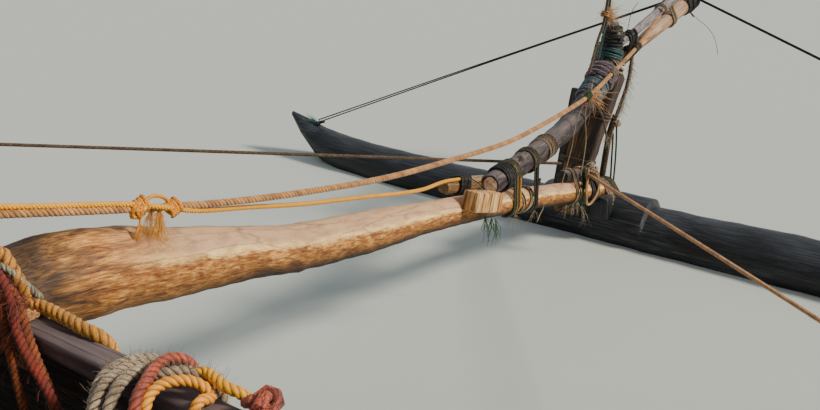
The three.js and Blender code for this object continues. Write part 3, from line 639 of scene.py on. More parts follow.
def rope_finish(name, light, dark, rough=0.9, sheen=0.3, fibre_mm=(2.5, 14), dirt=0.7, crease_shade=0.92):
    """Rope: fibres between a dark and a light colour, dirtier in slow patches, with a soft sheen.

    Dirt and crease shade are shares from 0 to 1: of the slow patches, and of painted shade in the creases.
    """
    material, put = empty_material(name)
    where = put("Attribute", attribute_name="grain").outputs["Vector"]
    across, along = (1000 / size for size in fibre_mm)
    fine = put("Mapping", {"Vector": where}, {"Scale": (across, across, along)})
    fibre = put("TexNoise", {"Vector": fine}, {"Scale": 1, "Detail": 3, "Roughness": 0.6})
    strand = put("ValToRGB", {"Fac": fibre}, stops=((0.32, dark), (0.6, light)))
    slow = put("TexNoise", {"Vector": where}, {"Scale": 1000 / DIRT_MM, "Detail": 3})
    grime = put("ValToRGB", {"Fac": slow}, stops=((0.35, "#8c837a"), (0.62, "#ffffff")))
    colour = put("MixRGB", {"Color1": strand, "Color2": grime}, {"Fac": dirt}, blend_type="MULTIPLY")
    # Painted shade in the three creases between the strands: |cos(1.5 angle)| is nothing there
    side = put("SeparateXYZ", {"Vector": where})
    angle = put("Math", {0: side.outputs["Y"], 1: side.outputs["X"]}, operation="ARCTAN2")
    lobe = put("Math", {0: angle}, {1: 1.5}, operation="MULTIPLY")
    lobe = put("Math", {0: lobe}, operation="COSINE")
    lobe = put("Math", {0: lobe}, operation="ABSOLUTE")
    gap = put("ValToRGB", {"Fac": lobe}, stops=((0.0, "#3a2c22"), (0.62, "#ffffff")))
    colour = put("MixRGB", {"Color1": colour, "Color2": gap}, {"Fac": crease_shade}, blend_type="MULTIPLY")
    height = put("Math", {0: fibre, 2: lobe}, {1: 0.5}, operation="MULTIPLY_ADD")
    bump = put("Bump", {"Height": height}, {"Strength": 0.8, "Distance": 0.0015})
    shader = put("BsdfPrincipled", {"Base Color": colour, "Normal": bump},
                 {"Roughness": rough, "Sheen Weight": sheen, "Sheen Roughness": 0.5, "IOR": 1.5})
    put("OutputMaterial", {"Surface": shader})
    return material


print(f"dirt comes in patches of {DIRT_MM:.0f} mm")

# %% [markdown]
# ## The cords on board
# Fishermen's gear is mended with whatever is at hand, so a dozen cords meet on one pole. They are told
# apart by colour first and by shine second.

# %% Mix the rope finishes
# Coir: new it is gold with brown creases; a loose tuft is paler still; old coir has gone grey
coir = rope_finish("laid coir rope", "#eeae66", "#8c5220")
coir_tuft = rope_finish("loose coconut fibre", "#ffc98c", "#d09050")
old_coir = rope_finish("weathered coir rope", "#ae9678", "#55432f")
# Tarred cords: brown or black, and dark right through, so the strands hardly show
brown_cord = rope_finish("brown tarred cord", "#7a6248", "#30241a", sheen=0.15)
black_cord = rope_finish("tarred black cord", "#212429", "#08090b", rough=0.6, sheen=0.05)
# Twisted polyethylene: strong dark greens with a dull plastic shine
teal_cord = rope_finish("teal twisted polyethylene", "#1c5f5e", "#08292a", rough=0.5, sheen=0.05)
green_cord = rope_finish("green twisted polyethylene", "#2f6a30", "#0f2c16", rough=0.5, sheen=0.05)
# Net cord: thin and faded to slate or olive, or flecked where green and white yarns are laid together
slate_cord = rope_finish("slate blue net cord", "#7c8f9c", "#3c4a57", rough=0.6, sheen=0.1)
olive_cord = rope_finish("olive net cord", "#5c5836", "#1c1c10", rough=0.7, sheen=0.1)
flecked_cord = rope_finish("flecked green and white net cord", "#c9c6a6", "#17241a", fibre_mm=(7, 10))
# Polypropylene: the brightest cords on board, clean and a little shiny, so they draw the eye first
yellow_cord = rope_finish("yellow twisted polypropylene", "#ffb91c", "#f09c0c", rough=0.5, sheen=0.05,
                          dirt=0.2, crease_shade=0.75)
orange_cord = rope_finish("orange twisted polypropylene", "#ffb230", "#f28c12", rough=0.5, sheen=0.05,
                          dirt=0.2, crease_shade=0.7)
mustard_rope = rope_finish("mustard polypropylene rope", "#f6a82a", "#94600f", rough=0.6, sheen=0.2)
# Frayed plastic: the same yarns pulled apart, paler, the orange with little painted crease shade
orange_fray = rope_finish("frayed orange polypropylene", "#ffba4c", "#f29a30", rough=0.5, sheen=0.05,
                          dirt=0.1, crease_shade=0.3)
teal_fray = rope_finish("frayed turquoise polyethylene", "#9fd0ca", "#4f9a94", rough=0.5, sheen=0.05)
# Red ropes: nylon that the sun has turned to brick, and hemp that looks rusty where it frays
red_cord = rope_finish("faded red nylon rope", "#d2603c", "#742410", rough=0.6, sheen=0.2)
rust_cord = rope_finish("rust red frayed rope", "#9c2c08", "#380a02", rough=0.8, sheen=0.15)
fox_cord = rope_finish("sun-faded orange hemp", "#b85c22", "#4c1c06", rough=0.85, sheen=0.15)
# Undyed cotton: cream, soft and quite dull; the cloth band is a wide strip that has lost its violet
cream_cord = rope_finish("undyed cotton rope", "#d8c09e", "#655240")
violet_cloth = rope_finish("faded violet cloth band", "#7d6a76", "#463844", fibre_mm=(3, 5))
print("finishes so far:", len(bpy.data.materials))

# %% [markdown]
# ## The booms
# Each boom is a whole young trunk that grew with a bend in it. It is notched over the gunwales, where
# it is thick, and dives, thinner, to the float. The rows are measured points on its axis with its
# radius there, the same ones as in the frame. Both booms are alike, so the aft one is a mirror image.

# %% Build the booms
BOOM = mm([
    (1800, 560, 1010, 80), (1800, 305, 1004, 88), (1798, 0, 1000, 93), (1795, -310, 1000, 97),
    (1768, -430, 995, 104), (1750, -560, 974, 99), (1745, -700, 933, 89), (1750, -930, 865, 76),
    (1770, -1190, 778, 69), (1795, -1490, 700, 70), (1800, -1940, 603, 56), (1802, -2520, 466, 48.5),
    (1810, -3050, 322, 47), (1815, -3540, 189, 42)])
# Distance from the inboard end, angle from the side that faces amidships, height and width
BOOM_KNOTS = [(1.08, -0.35, 0.011, 0.024), (1.04, -0.75, 0.007, 0.016), (0.93, 1.05, 0.01, 0.02),
              (1.32, 0.5, 0.005, 0.02), (1.78, -0.9, 0.006, 0.02), (2.05, 0.4, 0.006, 0.016),
              (2.75, 1.3, 0.005, 0.014), (3.4, -0.3, 0.004, 0.012)]

boom_trunk = timber(BOOM, peeled_trunk, sides=44, spacing=0.02, rough=0.022, knots=BOOM_KNOTS, seed=4)
twins("boom_trunk", [boom_trunk], "boom")


def crossing(rows, y):
    """The row of a line, with its radius where it has one, at the place where it crosses a given y."""
    path = spline(rows, 0.01)
    return np.array([np.interp(-y, -path[:, 1], column) for column in path.T])

# %% [markdown]
# ## The float
# The float is one log of heavy wood, hewn to a spindle, and its ends sweep up like a canoe's. Its
# section is a half ellipse above the widest line and a deeper one below. Between two steps the top
# is left higher, as a saddle that the boom is let into. A few slow dents keep the adze's work in it.

# %% Build the float
FLOAT_Y, FLOAT_AXIS_Z, FLOAT_SIDES = -3.46, 0.03, 44
# x, half breadth, top and bottom; the other end is the mirror image
FLOAT = mm([
    (0, 139, 200, -78), (1000, 139, 188, -82), (1554, 139, 168, -104), (1566, 139, 206, -104),
    (2104, 137, 194, -112), (2116, 137, 156, -112), (2600, 134, 147, -115), (3100, 122, 147, -100),
    (3400, 105, 162, -60), (3570, 82, 184, 0), (3700, 50, 222, 115), (3790, 12, 245, 215)])


def float_log():
    """Rings across the log: y = half * cos, z = middle + (top or bottom reach) * sin, with small dents."""
    x = np.union1d(np.arange(0, 3.79, 0.04), FLOAT[:, 0])
    x = np.concatenate([-x[:0:-1], x])
    half, top, bottom = (np.interp(np.abs(x), FLOAT[:, 0], FLOAT[:, k])[:, None] for k in (1, 2, 3))
    middle = np.maximum(FLOAT_AXIS_Z, (top + bottom) / 2)
    angle = np.linspace(0, 2 * np.pi, FLOAT_SIDES, endpoint=False)
    dents = 1 + 0.012 * (np.sin(3 * angle + 9 * x[:, None]) + np.sin(5 * angle - 23 * x[:, None])
                         + 0.6 * np.sin(8 * angle + 47 * x[:, None]))
    dents = np.where(np.abs(x[:, None]) > 3.5, 1, dents)  # the thin ends are left smooth
    reach = np.where(np.sin(angle) > 0, top - middle, middle - bottom)
    y = half * dents * np.cos(angle)
    z = middle + reach * dents * np.sin(angle)
    spread = np.broadcast_to(x[:, None], y.shape)
    return np.stack([spread, FLOAT_Y + y, z], axis=-1), np.stack([y, z, spread], axis=-1), soaked_log


piece("float_log", [float_log()], stands_for=["float"])

# %% [markdown]
# ## Props over the float
# The boom alone would work loose on the float, so a thick slab stands on the float behind it, and a
# crooked pole is lashed from the boom up to the slab's head. A sawn chock wedges the pole's foot.
# From the head, two light poles reach further out to spread the stays.

# %% Build the props
BRACE_POLE = mm([
    (1797, -2350, 592, 43), (1803, -2590, 598, 44), (1808, -2800, 611, 45), (1812, -3040, 650, 46),
    (1814, -3225, 728, 46), (1812, -3385, 838, 47), (1806, -3412, 935, 42), (1802, -3398, 1022, 30)])
POST = mm([
    (1932, -3335, 95, 66, 37), (1927, -3415, 340, 65, 36), (1904, -3506, 590, 74, 42),
    (1887, -3560, 735, 80, 46), (1903, -3590, 790, 57, 32), (1903, -3615, 880, 56, 31)])
SLIM_UPRIGHT = mm([(2026, -3385, 120, 26, 17), (2012, -3440, 440, 22, 15), (2000, -3475, 676, 18, 14)])
SEAT_BLOCK = mm([(1763, -3338, 112, 43, 34), (1763, -3338, 226, 43, 34)])
PACKING_LOG = mm([(1826, -3030, 402, 31), (1828, -3200, 356, 31), (1830, -3365, 314, 30)])
STUB = mm([(1862, -2120, 642, 27), (1858, -2260, 610, 29), (1854, -2400, 578, 27)])
OUTER_POLE = mm([
    (1838, -3470, 800, 22), (1822, -3660, 846, 25), (1800, -3950, 912, 34), (1775, -4270, 1002, 46)])
COMPANION_POLE = mm([
    (1806, -3445, 905, 17), (1800, -3660, 943, 19), (1795, -3940, 998, 21), (1780, -4230, 1066, 21)])
CHOCK_CENTRE, CHOCK_SLOPE = np.array([1.728, -2.18, 0.598]), 0.33
CHOCK_HALF = (0.0975, 0.032, 0.036)  # along the boom, across it, and upwards
chock_up = np.array([0, -np.sin(CHOCK_SLOPE), np.cos(CHOCK_SLOPE)])
CHOCK = [(*(CHOCK_CENTRE + sign * CHOCK_HALF[2] * chock_up), *CHOCK_HALF[:2]) for sign in (-1, 1)]
# Distance from the foot, angle, height and width
BRACE_KNOTS = [(0.19, 1.3, 0.012, 0.024), (0.55, 0.6, 0.01, 0.02), (0.9, 1.9, 0.012, 0.02),
               (1.25, 0.2, 0.012, 0.025)]


def end_face(rows, radius):
    """A thin disc on a pole's first end, where the saw has bared fresh wood."""
    first, second = (np.array(row[:3]) for row in rows[:2])
    out = unit(first - second)
    disc = [(*(first - 0.002 * out), radius), (*(first + 0.0015 * out), radius)]
    return timber(disc, sunlit_end_grain, sides=24, spacing=0.001, rough=0.06, seed=15)


# Columns: name, skins, record slot
props = [
    ("brace_pole", [timber(BRACE_POLE, bark_skin, sides=32, rough=0.06, seed=7, knots=BRACE_KNOTS),
                    end_face(BRACE_POLE, 0.033)], "bark_pole"),
    ("post", [board(POST, bark_slab, corner=0.012, hewn=0.004, seed=3, reference=ACROSS)], "prop_timber"),
    # The slim upright takes the near-black hull finish as painted shade, for it stands in shade
    ("slim_upright", [board(SLIM_UPRIGHT, oiled_hull, corner=0.007, hewn=0.002, reference=ACROSS)],
     "prop_timber"),
    ("seat_block", [board(SEAT_BLOCK, soaked_log, corner=0.01, hewn=0.002, reference=ACROSS)],
     "float_timber"),
    ("packing_log", [timber(PACKING_LOG, bark_skin, sides=24, rough=0.05, seed=9)], "bark_pole"),
    ("chock", [board(CHOCK, sawn_softwood, corner=0.006, hewn=0.002, reference=ALONG)], "pale_timber"),
    ("stub", [timber(STUB, worn_spar, sides=24, rough=0.06, seed=11)], "bark_pole"),
    ("outer_pole", [timber(OUTER_POLE, smooth_pole, sides=28, rough=0.03, seed=12)], "outer_timber"),
    ("companion_pole", [timber(COMPANION_POLE, driftwood, sides=24, rough=0.05, seed=13)], "pale_timber"),
]
for name, skins, slot in props:
    twins(f"{name}_shape", skins, name)

# %% [markdown]
# ## The hull
# One log makes the bottom: round outside, hollow inside to where the planks end, and solid beyond.
# Its section is a quarter ellipse from the keel up to the widest line, and a parabola from there in
# to the top edge. Outer and inner line together are one closed ring, so the hull is a single skin.

# %% Build the dugout log
# x, keel z, height of the widest line, half breadth there, top z, half breadth of the top
HULL_SECTIONS = mm([
    (0, -450, 100, 400, 540, 312), (1800, -440, 100, 390, 540, 306), (3000, -380, 120, 340, 550, 262),
    (3900, -260, 170, 255, 570, 190), (4350, -130, 220, 190, 590, 138), (4700, 30, 310, 125, 618, 88),
    (5000, 300, 450, 52, 650, 36)])
LOG_WALL, HOLLOW_END, STEM_X, SECTION_STEPS = 0.045, 3.9, 4.35, 16
HULL = spline([(x, 0, 0, *rest) for x, *rest in HULL_SECTIONS], 0.05)


def hull_at(x):
    """Keel z, belly z, half breadth, top z and half breadth of the top at each x."""
    return [np.interp(np.abs(x), HULL[:, 0], HULL[:, k]) for k in range(3, 8)]


def sheer(x):
    """Height of the gunwale's top: 0.965 m amidships, and 8 mm more for each square metre of x squared."""
    return 0.965 + 0.008 * np.square(x)


def rail_outer(x):
    """Outer edge of the gunwale, from 0.326 m amidships in to 0.150 m at the end board."""
    return 0.15 + 0.176 * np.maximum(0, 1 - np.abs(x / STEM_X) ** 3.5) ** 0.8


def half_section(keel, belly, breadth, top, top_breadth):
    """Half a section from the keel up: quarter ellipse, then y = b + (tb - b) t^2 with z rising evenly."""
    turn = np.linspace(0, np.pi / 2, SECTION_STEPS)[:, None]
    t = np.linspace(0, 1, 9)[1:, None]
    y = np.concatenate([breadth * np.sin(turn), breadth + (top_breadth - breadth) * t**2])
    z = np.concatenate([belly - (belly - keel) * np.cos(turn), belly + (top - belly) * t])
    return y, z


def dugout():
    """The log's rings: outer line from edge to edge by way of the keel, then the inner line back."""
    x = np.concatenate([np.arange(0, HOLLOW_END, 0.07), [HOLLOW_END, HOLLOW_END + 0.002],
                        np.arange(HOLLOW_END + 0.05, 4.96, 0.06), [4.985, 5.0]])
    x = np.concatenate([-x[:0:-1], x])
    keel, belly, breadth, top, top_breadth = hull_at(x)
    nose = np.where(np.abs(x) > 4.99, 0.82, 1.0)
    outer_y, outer_z = half_section(keel, belly, breadth * nose, top, top_breadth * nose)
    inner_y, inner_z = half_section(keel + LOG_WALL, belly, breadth - LOG_WALL, top, top_breadth - LOG_WALL)
    solid = np.abs(x) > HOLLOW_END
    inner_y = np.where(solid, np.minimum(inner_y, top_breadth * nose * 0.9), inner_y)
    inner_z = np.where(solid, top, inner_z)
    # Slow dents of the adze, deeper inside, where nobody planes
    adze = sum(np.sin(k * 7 * outer_z / 0.5 + x * f) for k, f in ((1, 31), (2, -47))) * 0.0016
    inner_y = inner_y + np.where(solid, 0, 2 * adze)
    outer_y = outer_y + adze * np.clip(outer_y / 0.05, 0, 1)
    ring_y = np.concatenate([-outer_y[::-1], outer_y[1:], inner_y[::-1], -inner_y[1:]])
    ring_z = np.concatenate([outer_z[::-1], outer_z[1:], inner_z[::-1], inner_z[1:]])
    points = np.stack([np.broadcast_to(x, ring_y.shape), ring_y, ring_z], axis=-1).transpose(1, 0, 2)
    return points, points[..., [1, 2, 0]], oiled_hull


piece("dugout", [dugout()], stands_for=["dugout_log"])

# %% [markdown]
# ## Planks, gunwales and boards
# The planks stand on the log's edge, and the gunwales cap them. Every board is the same section with
# worn corners, carried along rows of its middle line. Where a plank leans, three columns of each row
# say which way its thickness points.

# %% Build the planks, the gunwales and the end boards
RAIL_WIDTH, RAIL_DEPTH, PLANK = 0.062, 0.052, 0.028
SIDES = ((1, "port"), (-1, "starboard"))
stations = np.linspace(-STEM_X, STEM_X, 59)


def rail_middle(side, x):
    """The middle of a gunwale's width; side is 1 for port and -1 for starboard."""
    return side * (rail_outer(x) - RAIL_WIDTH / 2)


def strake(side):
    """Rows of a plank: its middle line, half its height, half its thickness, and its outward direction."""
    _, _, _, top, top_breadth = hull_at(stations)
    foot = np.stack([top_breadth - PLANK / 2, top + 0.001], axis=-1)
    head = np.stack([rail_outer(stations) - RAIL_WIDTH / 2, sheer(stations) - RAIL_DEPTH - 0.001], axis=-1)
    rise = head - foot
    middle, height = (foot + head) / 2, np.linalg.norm(rise, axis=-1, keepdims=True)
    out = np.stack([0 * stations, side * rise[:, 1], -rise[:, 0]], axis=-1) / height
    return np.column_stack([stations, side * middle[:, 0], middle[:, 1], height / 2,
                            np.full(len(stations), PLANK / 2), out])


def rail(side):
    """Rows of a gunwale: its middle line and half its width and depth."""
    return np.column_stack([stations, rail_middle(side, stations), sheer(stations) - RAIL_DEPTH / 2,
                            np.full((len(stations), 2), (RAIL_WIDTH / 2, RAIL_DEPTH / 2))])


for side, word in SIDES:
    plank = board(strake(side), oiled_hull, corner=0.005, spacing=0.07, hewn=0.002, seed=2 + side)
    piece(f"washstrake_shape_{word}", [plank], stands_for=[f"washstrake_{word}"])
    gunwale = board(rail(side), rubbed_rail, corner=0.012, spacing=0.06, hewn=0.0025, seed=6 + side)
    piece(f"gunwale_shape_{word}", [gunwale], stands_for=[f"gunwale_{word}"])

END_X = STEM_X + 0.0003 + PLANK / 2
end_board = board([(END_X, 0, 0.592, 0.152, PLANK / 2), (END_X, 0, sheer(STEM_X) + 0.055, 0.168, PLANK / 2)],
                  rubbed_rail, corner=0.008, hewn=0.002, reference=ALONG)
twins("end_board_shape", [end_board], "end_board", words=("bow", "stern"))

# %% [markdown]
# ## Thwarts and bitts
# Three thwarts lie across the gunwales, let in a little, and their ends stand out beyond them. A bitt
# is a square post with its corners worn, set in the bottom beside each boom, for the boom to be tied
# to.

# %% Build the thwarts and the bitts
THWART_THICKNESS, LET_IN = 0.038, 0.006
# Columns: name, x, half width, how far its ends reach beyond the gunwale
THWARTS = [("fore", 3.0, 0.095, 0.03), ("mid", 0.0, 0.15, 0.06), ("aft", -3.0, 0.095, 0.03)]
for name, x, half_width, overhang in THWARTS:
    reach, height = rail_outer(x) + overhang, sheer(x) - LET_IN + THWART_THICKNESS / 2
    rows = [(x, side * reach, height, half_width, THWART_THICKNESS / 2) for side in (-1, 1)]
    piece(f"thwart_shape_{name}", [board(rows, rubbed_rail, corner=0.007, hewn=0.003, seed=21)],
          stands_for=[f"thwart_{name}"])

BITT_X, BITT_Y, BITT_HALF, BITT_HEAD = 1.675, 0.12, 0.034, 1.43
# Columns: z, share of the full width; the head is chamfered
bitt = board([(BITT_X, BITT_Y, z, BITT_HALF * size, BITT_HALF * size)
              for z, size in ((-0.2, 1), (BITT_HEAD - 0.06, 1), (BITT_HEAD - 0.02, 0.94), (BITT_HEAD, 0.8))],
             oiled_hull, corner=0.009, hewn=0.003, reference=ACROSS)
twins("bitt_shape", [bitt], "bitt")

# %% [markdown]
# ## The spars and the sail's surface
# The mast is one straight pole. The sprit stands against it in a rope loop and carries the peak of
# the sail, which is nearly square and is tanned brown. The cloth is a bilinear patch between its four
# corners with a belly of sin(pi u) times sin(pi (0.1 + 0.8 v)), and it is sewn from upright cloths.

# %% Build the mast and the sprit
MAST = [(0, 0, -0.33, 0.066), (0, 0, 0.965, 0.066), (0, 0, 7.5, 0.044)]
SPRIT = [(-0.105, -0.014, 1.44, 0.036), (-2.29, 0.004, 5.14, 0.042), (-4.48, 0.04, 8.86, 0.026)]
SAIL = {"tack": (-0.098, 0.03, 1.8), "throat": (-0.084, 0.03, 7.23),
        "clew": (-3.9, 0.15, 2.04), "peak": (-4.3, 0.0672, 8.64)}
SAIL_BELLY = 0.42

mast_pole = timber(MAST, worn_spar, sides=32, spacing=0.08, rough=0.006, seed=31, reference=ALONG)
piece("mast_pole", [mast_pole], stands_for=["mast"])
sprit_pole = timber(SPRIT, worn_spar, sides=24, spacing=0.08, rough=0.02, seed=32)
piece("sprit_pole", [sprit_pole], body="rig", stands_for=["sprit"])


def sail_at(u, v):
    """The sail's surface: between luff and leech by u, up by v, with its belly to leeward."""
    corner = {name: np.array(place) for name, place in SAIL.items()}
    u, v = np.asarray(u)[..., None], np.asarray(v)[..., None]
    luff = corner["tack"] * (1 - v) + corner["throat"] * v
    leech = corner["clew"] * (1 - v) + corner["peak"] * v
    belly = SAIL_BELLY * np.sin(np.pi * u) * np.sin(np.pi * (0.1 + 0.8 * v))
    return luff * (1 - u) + leech * u + np.array(ACROSS) * belly

# %% [markdown]
# ## Sailcloth
# The sail is cotton steeped in tannin, which keeps off rot and turns it brown. It is one sheet here:
# a grid of points with a UV map in metres, and a Solidify modifier gives it two millimetres. The
# seams between the cloths come from that map, as bands where two layers lie on each other.

# %% Helpers for cloth
def cloth(name, points, finish, thickness, body):
    """A sheet through a grid of points, with a UV map of the distances travelled across and up it."""
    rows, columns = points.shape[:2]
    index = np.arange(rows * columns).reshape(rows, columns)
    quads = np.stack([index[:-1, :-1], index[:-1, 1:], index[1:, 1:], index[1:, :-1]], axis=-1).reshape(-1, 4)
    across = travelled(points)
    up = travelled(points.swapaxes(0, 1)).T
    mesh = bpy.data.meshes.new(name)
    mesh.from_pydata(points.reshape(-1, 3).tolist(), [], quads.tolist())
    mesh.polygons.foreach_set("use_smooth", [True] * len(quads))
    mesh.materials.append(finish)
    corners = np.stack([across.ravel(), up.ravel()], axis=-1)[quads.ravel()]
    mesh.uv_layers.new(name="metres").data.foreach_set("uv", corners.astype(np.float32).ravel())
    made = bpy.data.objects.new(name, mesh)
    bpy.context.scene.collection.objects.link(made)
    solid = made.modifiers.new("thickness", "SOLIDIFY")
    solid.thickness, solid.offset = thickness, 0
    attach(made, body)
    tally[name] = 4 * len(quads)
    print(f"{name}: {tally[name]} triangles")
    return made


# The real threads lie 0.6 mm apart; they are drawn 38 mm apart so that they show at all
THREAD_STEP = 0.012 * np.pi
WAVE_BAND = 2 * np.pi / 20  # the Wave texture's own distance from band to band


def sailcloth_finish(name, light, dark, stain, cloth_width):
    """Tanned cotton: a square weave, stains that run down, and a darker, raised seam every cloth."""
    material, put = empty_material(name)
    metres = put("UVMap", uv_map="metres")
    threads = {"Scale": WAVE_BAND / THREAD_STEP, "Distortion": 0.6, "Detail": 2}
    warp = put("TexWave", {"Vector": metres}, threads, bands_direction="X").outputs["Fac"]
    weft = put("TexWave", {"Vector": metres}, threads, bands_direction="Y").outputs["Fac"]
    weave = put("Math", {0: warp, 1: weft}, operation="MULTIPLY")
    # Streaks of dye about half a metre wide and two metres tall, and blots of over half a metre
    tall = put("Mapping", {"Vector": metres}, {"Scale": (2.2, 0.5, 1)})
    streaks = put("TexNoise", {"Vector": tall},
                  {"Scale": 1, "Detail": 6, "Roughness": 0.7, "Distortion": 0.6})
    base = put("ValToRGB", {"Fac": streaks}, stops=((0.36, dark), (0.66, light)))
    blots = put("TexNoise", {"Vector": metres}, {"Scale": 1.7, "Detail": 5, "Roughness": 0.7})
    blot = put("ValToRGB", {"Fac": blots}, stops=((0.34, stain), (0.5, "#ffffff")))
    dyed = put("MixRGB", {"Color1": base, "Color2": blot}, {"Fac": 0.75}, blend_type="MULTIPLY")
    # Distance from the nearest seam, in metres
    across = put("SeparateXYZ", {"Vector": metres}).outputs["X"]
    nearest = put("Math", {0: across}, {1: cloth_width}, operation="PINGPONG")
    seam = put("ValToRGB", {"Fac": nearest},
               stops=((0.018, "#8f8078"), (0.024, "#ffffff"), (0.0, "#a89a90")))
    sewn = put("MixRGB", {"Color1": dyed, "Color2": seam}, {"Fac": 0.7}, blend_type="MULTIPLY")
    step = put("MapRange", {"Value": nearest},
               {"From Min": 0.017, "From Max": 0.021, "To Min": 1.0, "To Max": 0.0})
    relief = put("Math", {0: weave, 2: step}, {1: 0.25}, operation="MULTIPLY_ADD")
    bump = put("Bump", {"Height": relief}, {"Strength": 0.7, "Distance": 0.002})
    shader = put("BsdfPrincipled", {"Base Color": sewn, "Normal": bump},
                 {"Roughness": 0.92, "Sheen Weight": 0.25, "Sheen Roughness": 0.6, "IOR": 1.5})
    put("OutputMaterial", {"Surface": shader})
    return material


# Tanned cotton: red-brown and quite dull, streaked and blotted where the dye ran; a patch is newer
CLOTH_WIDTH = 0.55
tanned_cotton = sailcloth_finish("tanned cotton sailcloth", "#95603f", "#6a3f2a", "#54392c", CLOTH_WIDTH)
patch_cotton = sailcloth_finish("newer tanned cotton", "#ab7a54", "#7d5138", "#6a4a38", 4 * CLOTH_WIDTH)
print("two finishes of sailcloth")

# %% [markdown]
# ## The sail
# The sail is the surface from above with shallow folds in it. A rope is sewn round its four edges, and
# four patches lie on it.

# %% Build the sail
FOLD_DEPTH, CLOTH_THICKNESS, BOLTROPE_RADIUS = 0.012, 0.002, 0.009
PATCH_BREADTH, PATCH_HEIGHT = 4.1, 6.0  # the sail's mean sizes, which turn a patch's metres to shares

u, v = np.meshgrid(np.linspace(0, 1, 65), np.linspace(0, 1, 81))
# Shallow folds run from the tack to the peak, where the sprit strains the cloth
folds = FOLD_DEPTH * np.sin(2 * np.pi * (6 * (u - v) + 0.4 * u)) * np.sin(np.pi * u) * np.sin(np.pi * v)
surface = sail_at(u, v) + folds[..., None] * np.array(ACROSS)
sail = cloth("sail_cloth", surface, tanned_cotton, CLOTH_THICKNESS, "rig")
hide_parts("sail")


def area_of(points):
    """Area of a grid: half the cross product of its cells' diagonals, summed."""
    one, other = points[1:, 1:] - points[:-1, :-1], points[1:, :-1] - points[:-1, 1:]
    return np.linalg.norm(np.cross(one, other), axis=-1).sum() / 2


edge = np.linspace(0, 1, 25)
edges = [(0 * edge, edge), (0 * edge + 1, edge), (edge, 0 * edge), (edge, 0 * edge + 1)]
boltrope = piece("sail_boltrope", [
    cord(spline(sail_at(*side), 0.02), BOLTROPE_RADIUS, old_coir, strands=0, sides=6) for side in edges],
    body="rig")

# Columns: place on the sail from 0 to 1, size in metres, how far it stands off the sail
PATCHES = [(0.22, 0.14, 0.42, 0.34, 0.006), (0.58, 0.33, 0.3, 0.46, 0.018),
           (0.8, 0.78, 0.46, 0.32, 0.016), (0.37, 0.66, 0.26, 0.3, 0.017)]
half = np.linspace(-0.5, 0.5, 12)
for number, (place_u, place_v, width, height, reach) in enumerate(PATCHES):
    grid = np.meshgrid(place_u + half * width / PATCH_BREADTH, place_v + half * height / PATCH_HEIGHT)
    raised = sail_at(*grid) + np.array([0, reach, 0])
    cloth(f"sail_patch_{number}", raised, patch_cotton, CLOTH_THICKNESS, "rig")
print(f"sail area {area_of(surface):.2f} square metres")

# %% [markdown]
# ## Ropes of the rig
# Rope loops hold the sprit's heel and the sail's throat to the mast, and a lacing runs round the mast
# up the luff. `belt` draws a cord tight round both timbers, so it lies on them as a real lashing does,
# and where it is centred on the mast it can turn with the sail.

# %% Build the loops, the lacing and the peak lashing
PLAY = 0.0012  # the loops turn with the sail, so they stay this far off the mast
sprit_line = spline(SPRIT, 0.01)


def mast_radius(z):
    """Radius of the mast at a height, by straight interpolation between its rows."""
    return np.interp(z, [row[2] for row in MAST], [row[3] for row in MAST])


def sprit_at(z):
    """Centre of the sprit at a height."""
    return [np.interp(z, sprit_line[:, 2], sprit_line[:, k]) for k in (0, 1)] + [z]


def round_mast(z, held, held_radius, turns, radius, finish, **shape):
    """A cord round the mast and one more circle at the same height."""
    return belt(UP, [((0, 0, z), mast_radius(z) + PLAY), ((*held[:2], z), held_radius)], turns, radius,
                finish, **shape)


snotter = round_mast(1.5, sprit_at(1.5), 0.037, 3, 0.0075, coir)
piece("snotter_turns", [snotter, knot((-0.07, -0.075, 1.5), 0.026, 0.007, coir, tilt=0.4)], body="rig",
      stands_for=["snotter_loop"])
throat = round_mast(7.15, (-0.079, 0.027), 0.01, 4, 0.0055, old_coir)
piece("throat_turns", [throat], body="rig", stands_for=["throat_loop"])

lacing = []
for share in np.linspace(0.06, 0.92, 8):
    luff = sail_at(0.0, share)
    lacing.append(round_mast(luff[2], luff, 0.01, 2, 0.0045, old_coir, seed=int(share * 100)))
piece("luff_lacing", lacing, body="rig")

peak = np.array(SAIL["peak"])
sprit_up = unit(sprit_line[-1, :3] - sprit_line[-40, :3])
peak_turns = [
    belt(sprit_up, [(sprit_at(z), 0.0285), (peak + (z - peak[2]) * sprit_up, 0.008)], 3, 0.006, coir, seed=5)
    for z in (8.6, 8.65)]
clew_points = [sail_at(1.0, 0.0), (-3.9, 0.15, 2.005), (-3.91, 0.152, 1.95), (-3.905, 0.15, 1.9)]
clew_tail = rope(clew_points, 0.007, coir)
clew_knot = knot((-3.903, 0.151, 2.0), 0.022, 0.006, coir)
piece("peak_lashing", [*peak_turns, clew_tail, clew_knot], body="rig")

# %% [markdown]
# ## Steering oar
# The oar's shaft is a pole and its blade a plank, shaped by a Bezier curve that widens fast and then
# runs nearly straight. It stands in a rope ring on a bar across the stern.

# %% Build the steering oar and its ring
OAR_HEAD, OAR_FOOT = np.array([-3.72, 0.44, 1.79]), np.array([-4.18, 0.44, -0.65])
OAR_SHAFT, BLADE_LENGTH, BLADE_THICKNESS = 0.027, 1.05, 0.03
BAR_X, BAR_RADIUS = -3.768, 0.036
bar_z = sheer(BAR_X) + BAR_RADIUS - 0.003
oar_up = unit(OAR_HEAD - OAR_FOOT)
ring_down = (OAR_HEAD[2] - bar_z) / oar_up[2]
ring_place = OAR_HEAD - ring_down * oar_up

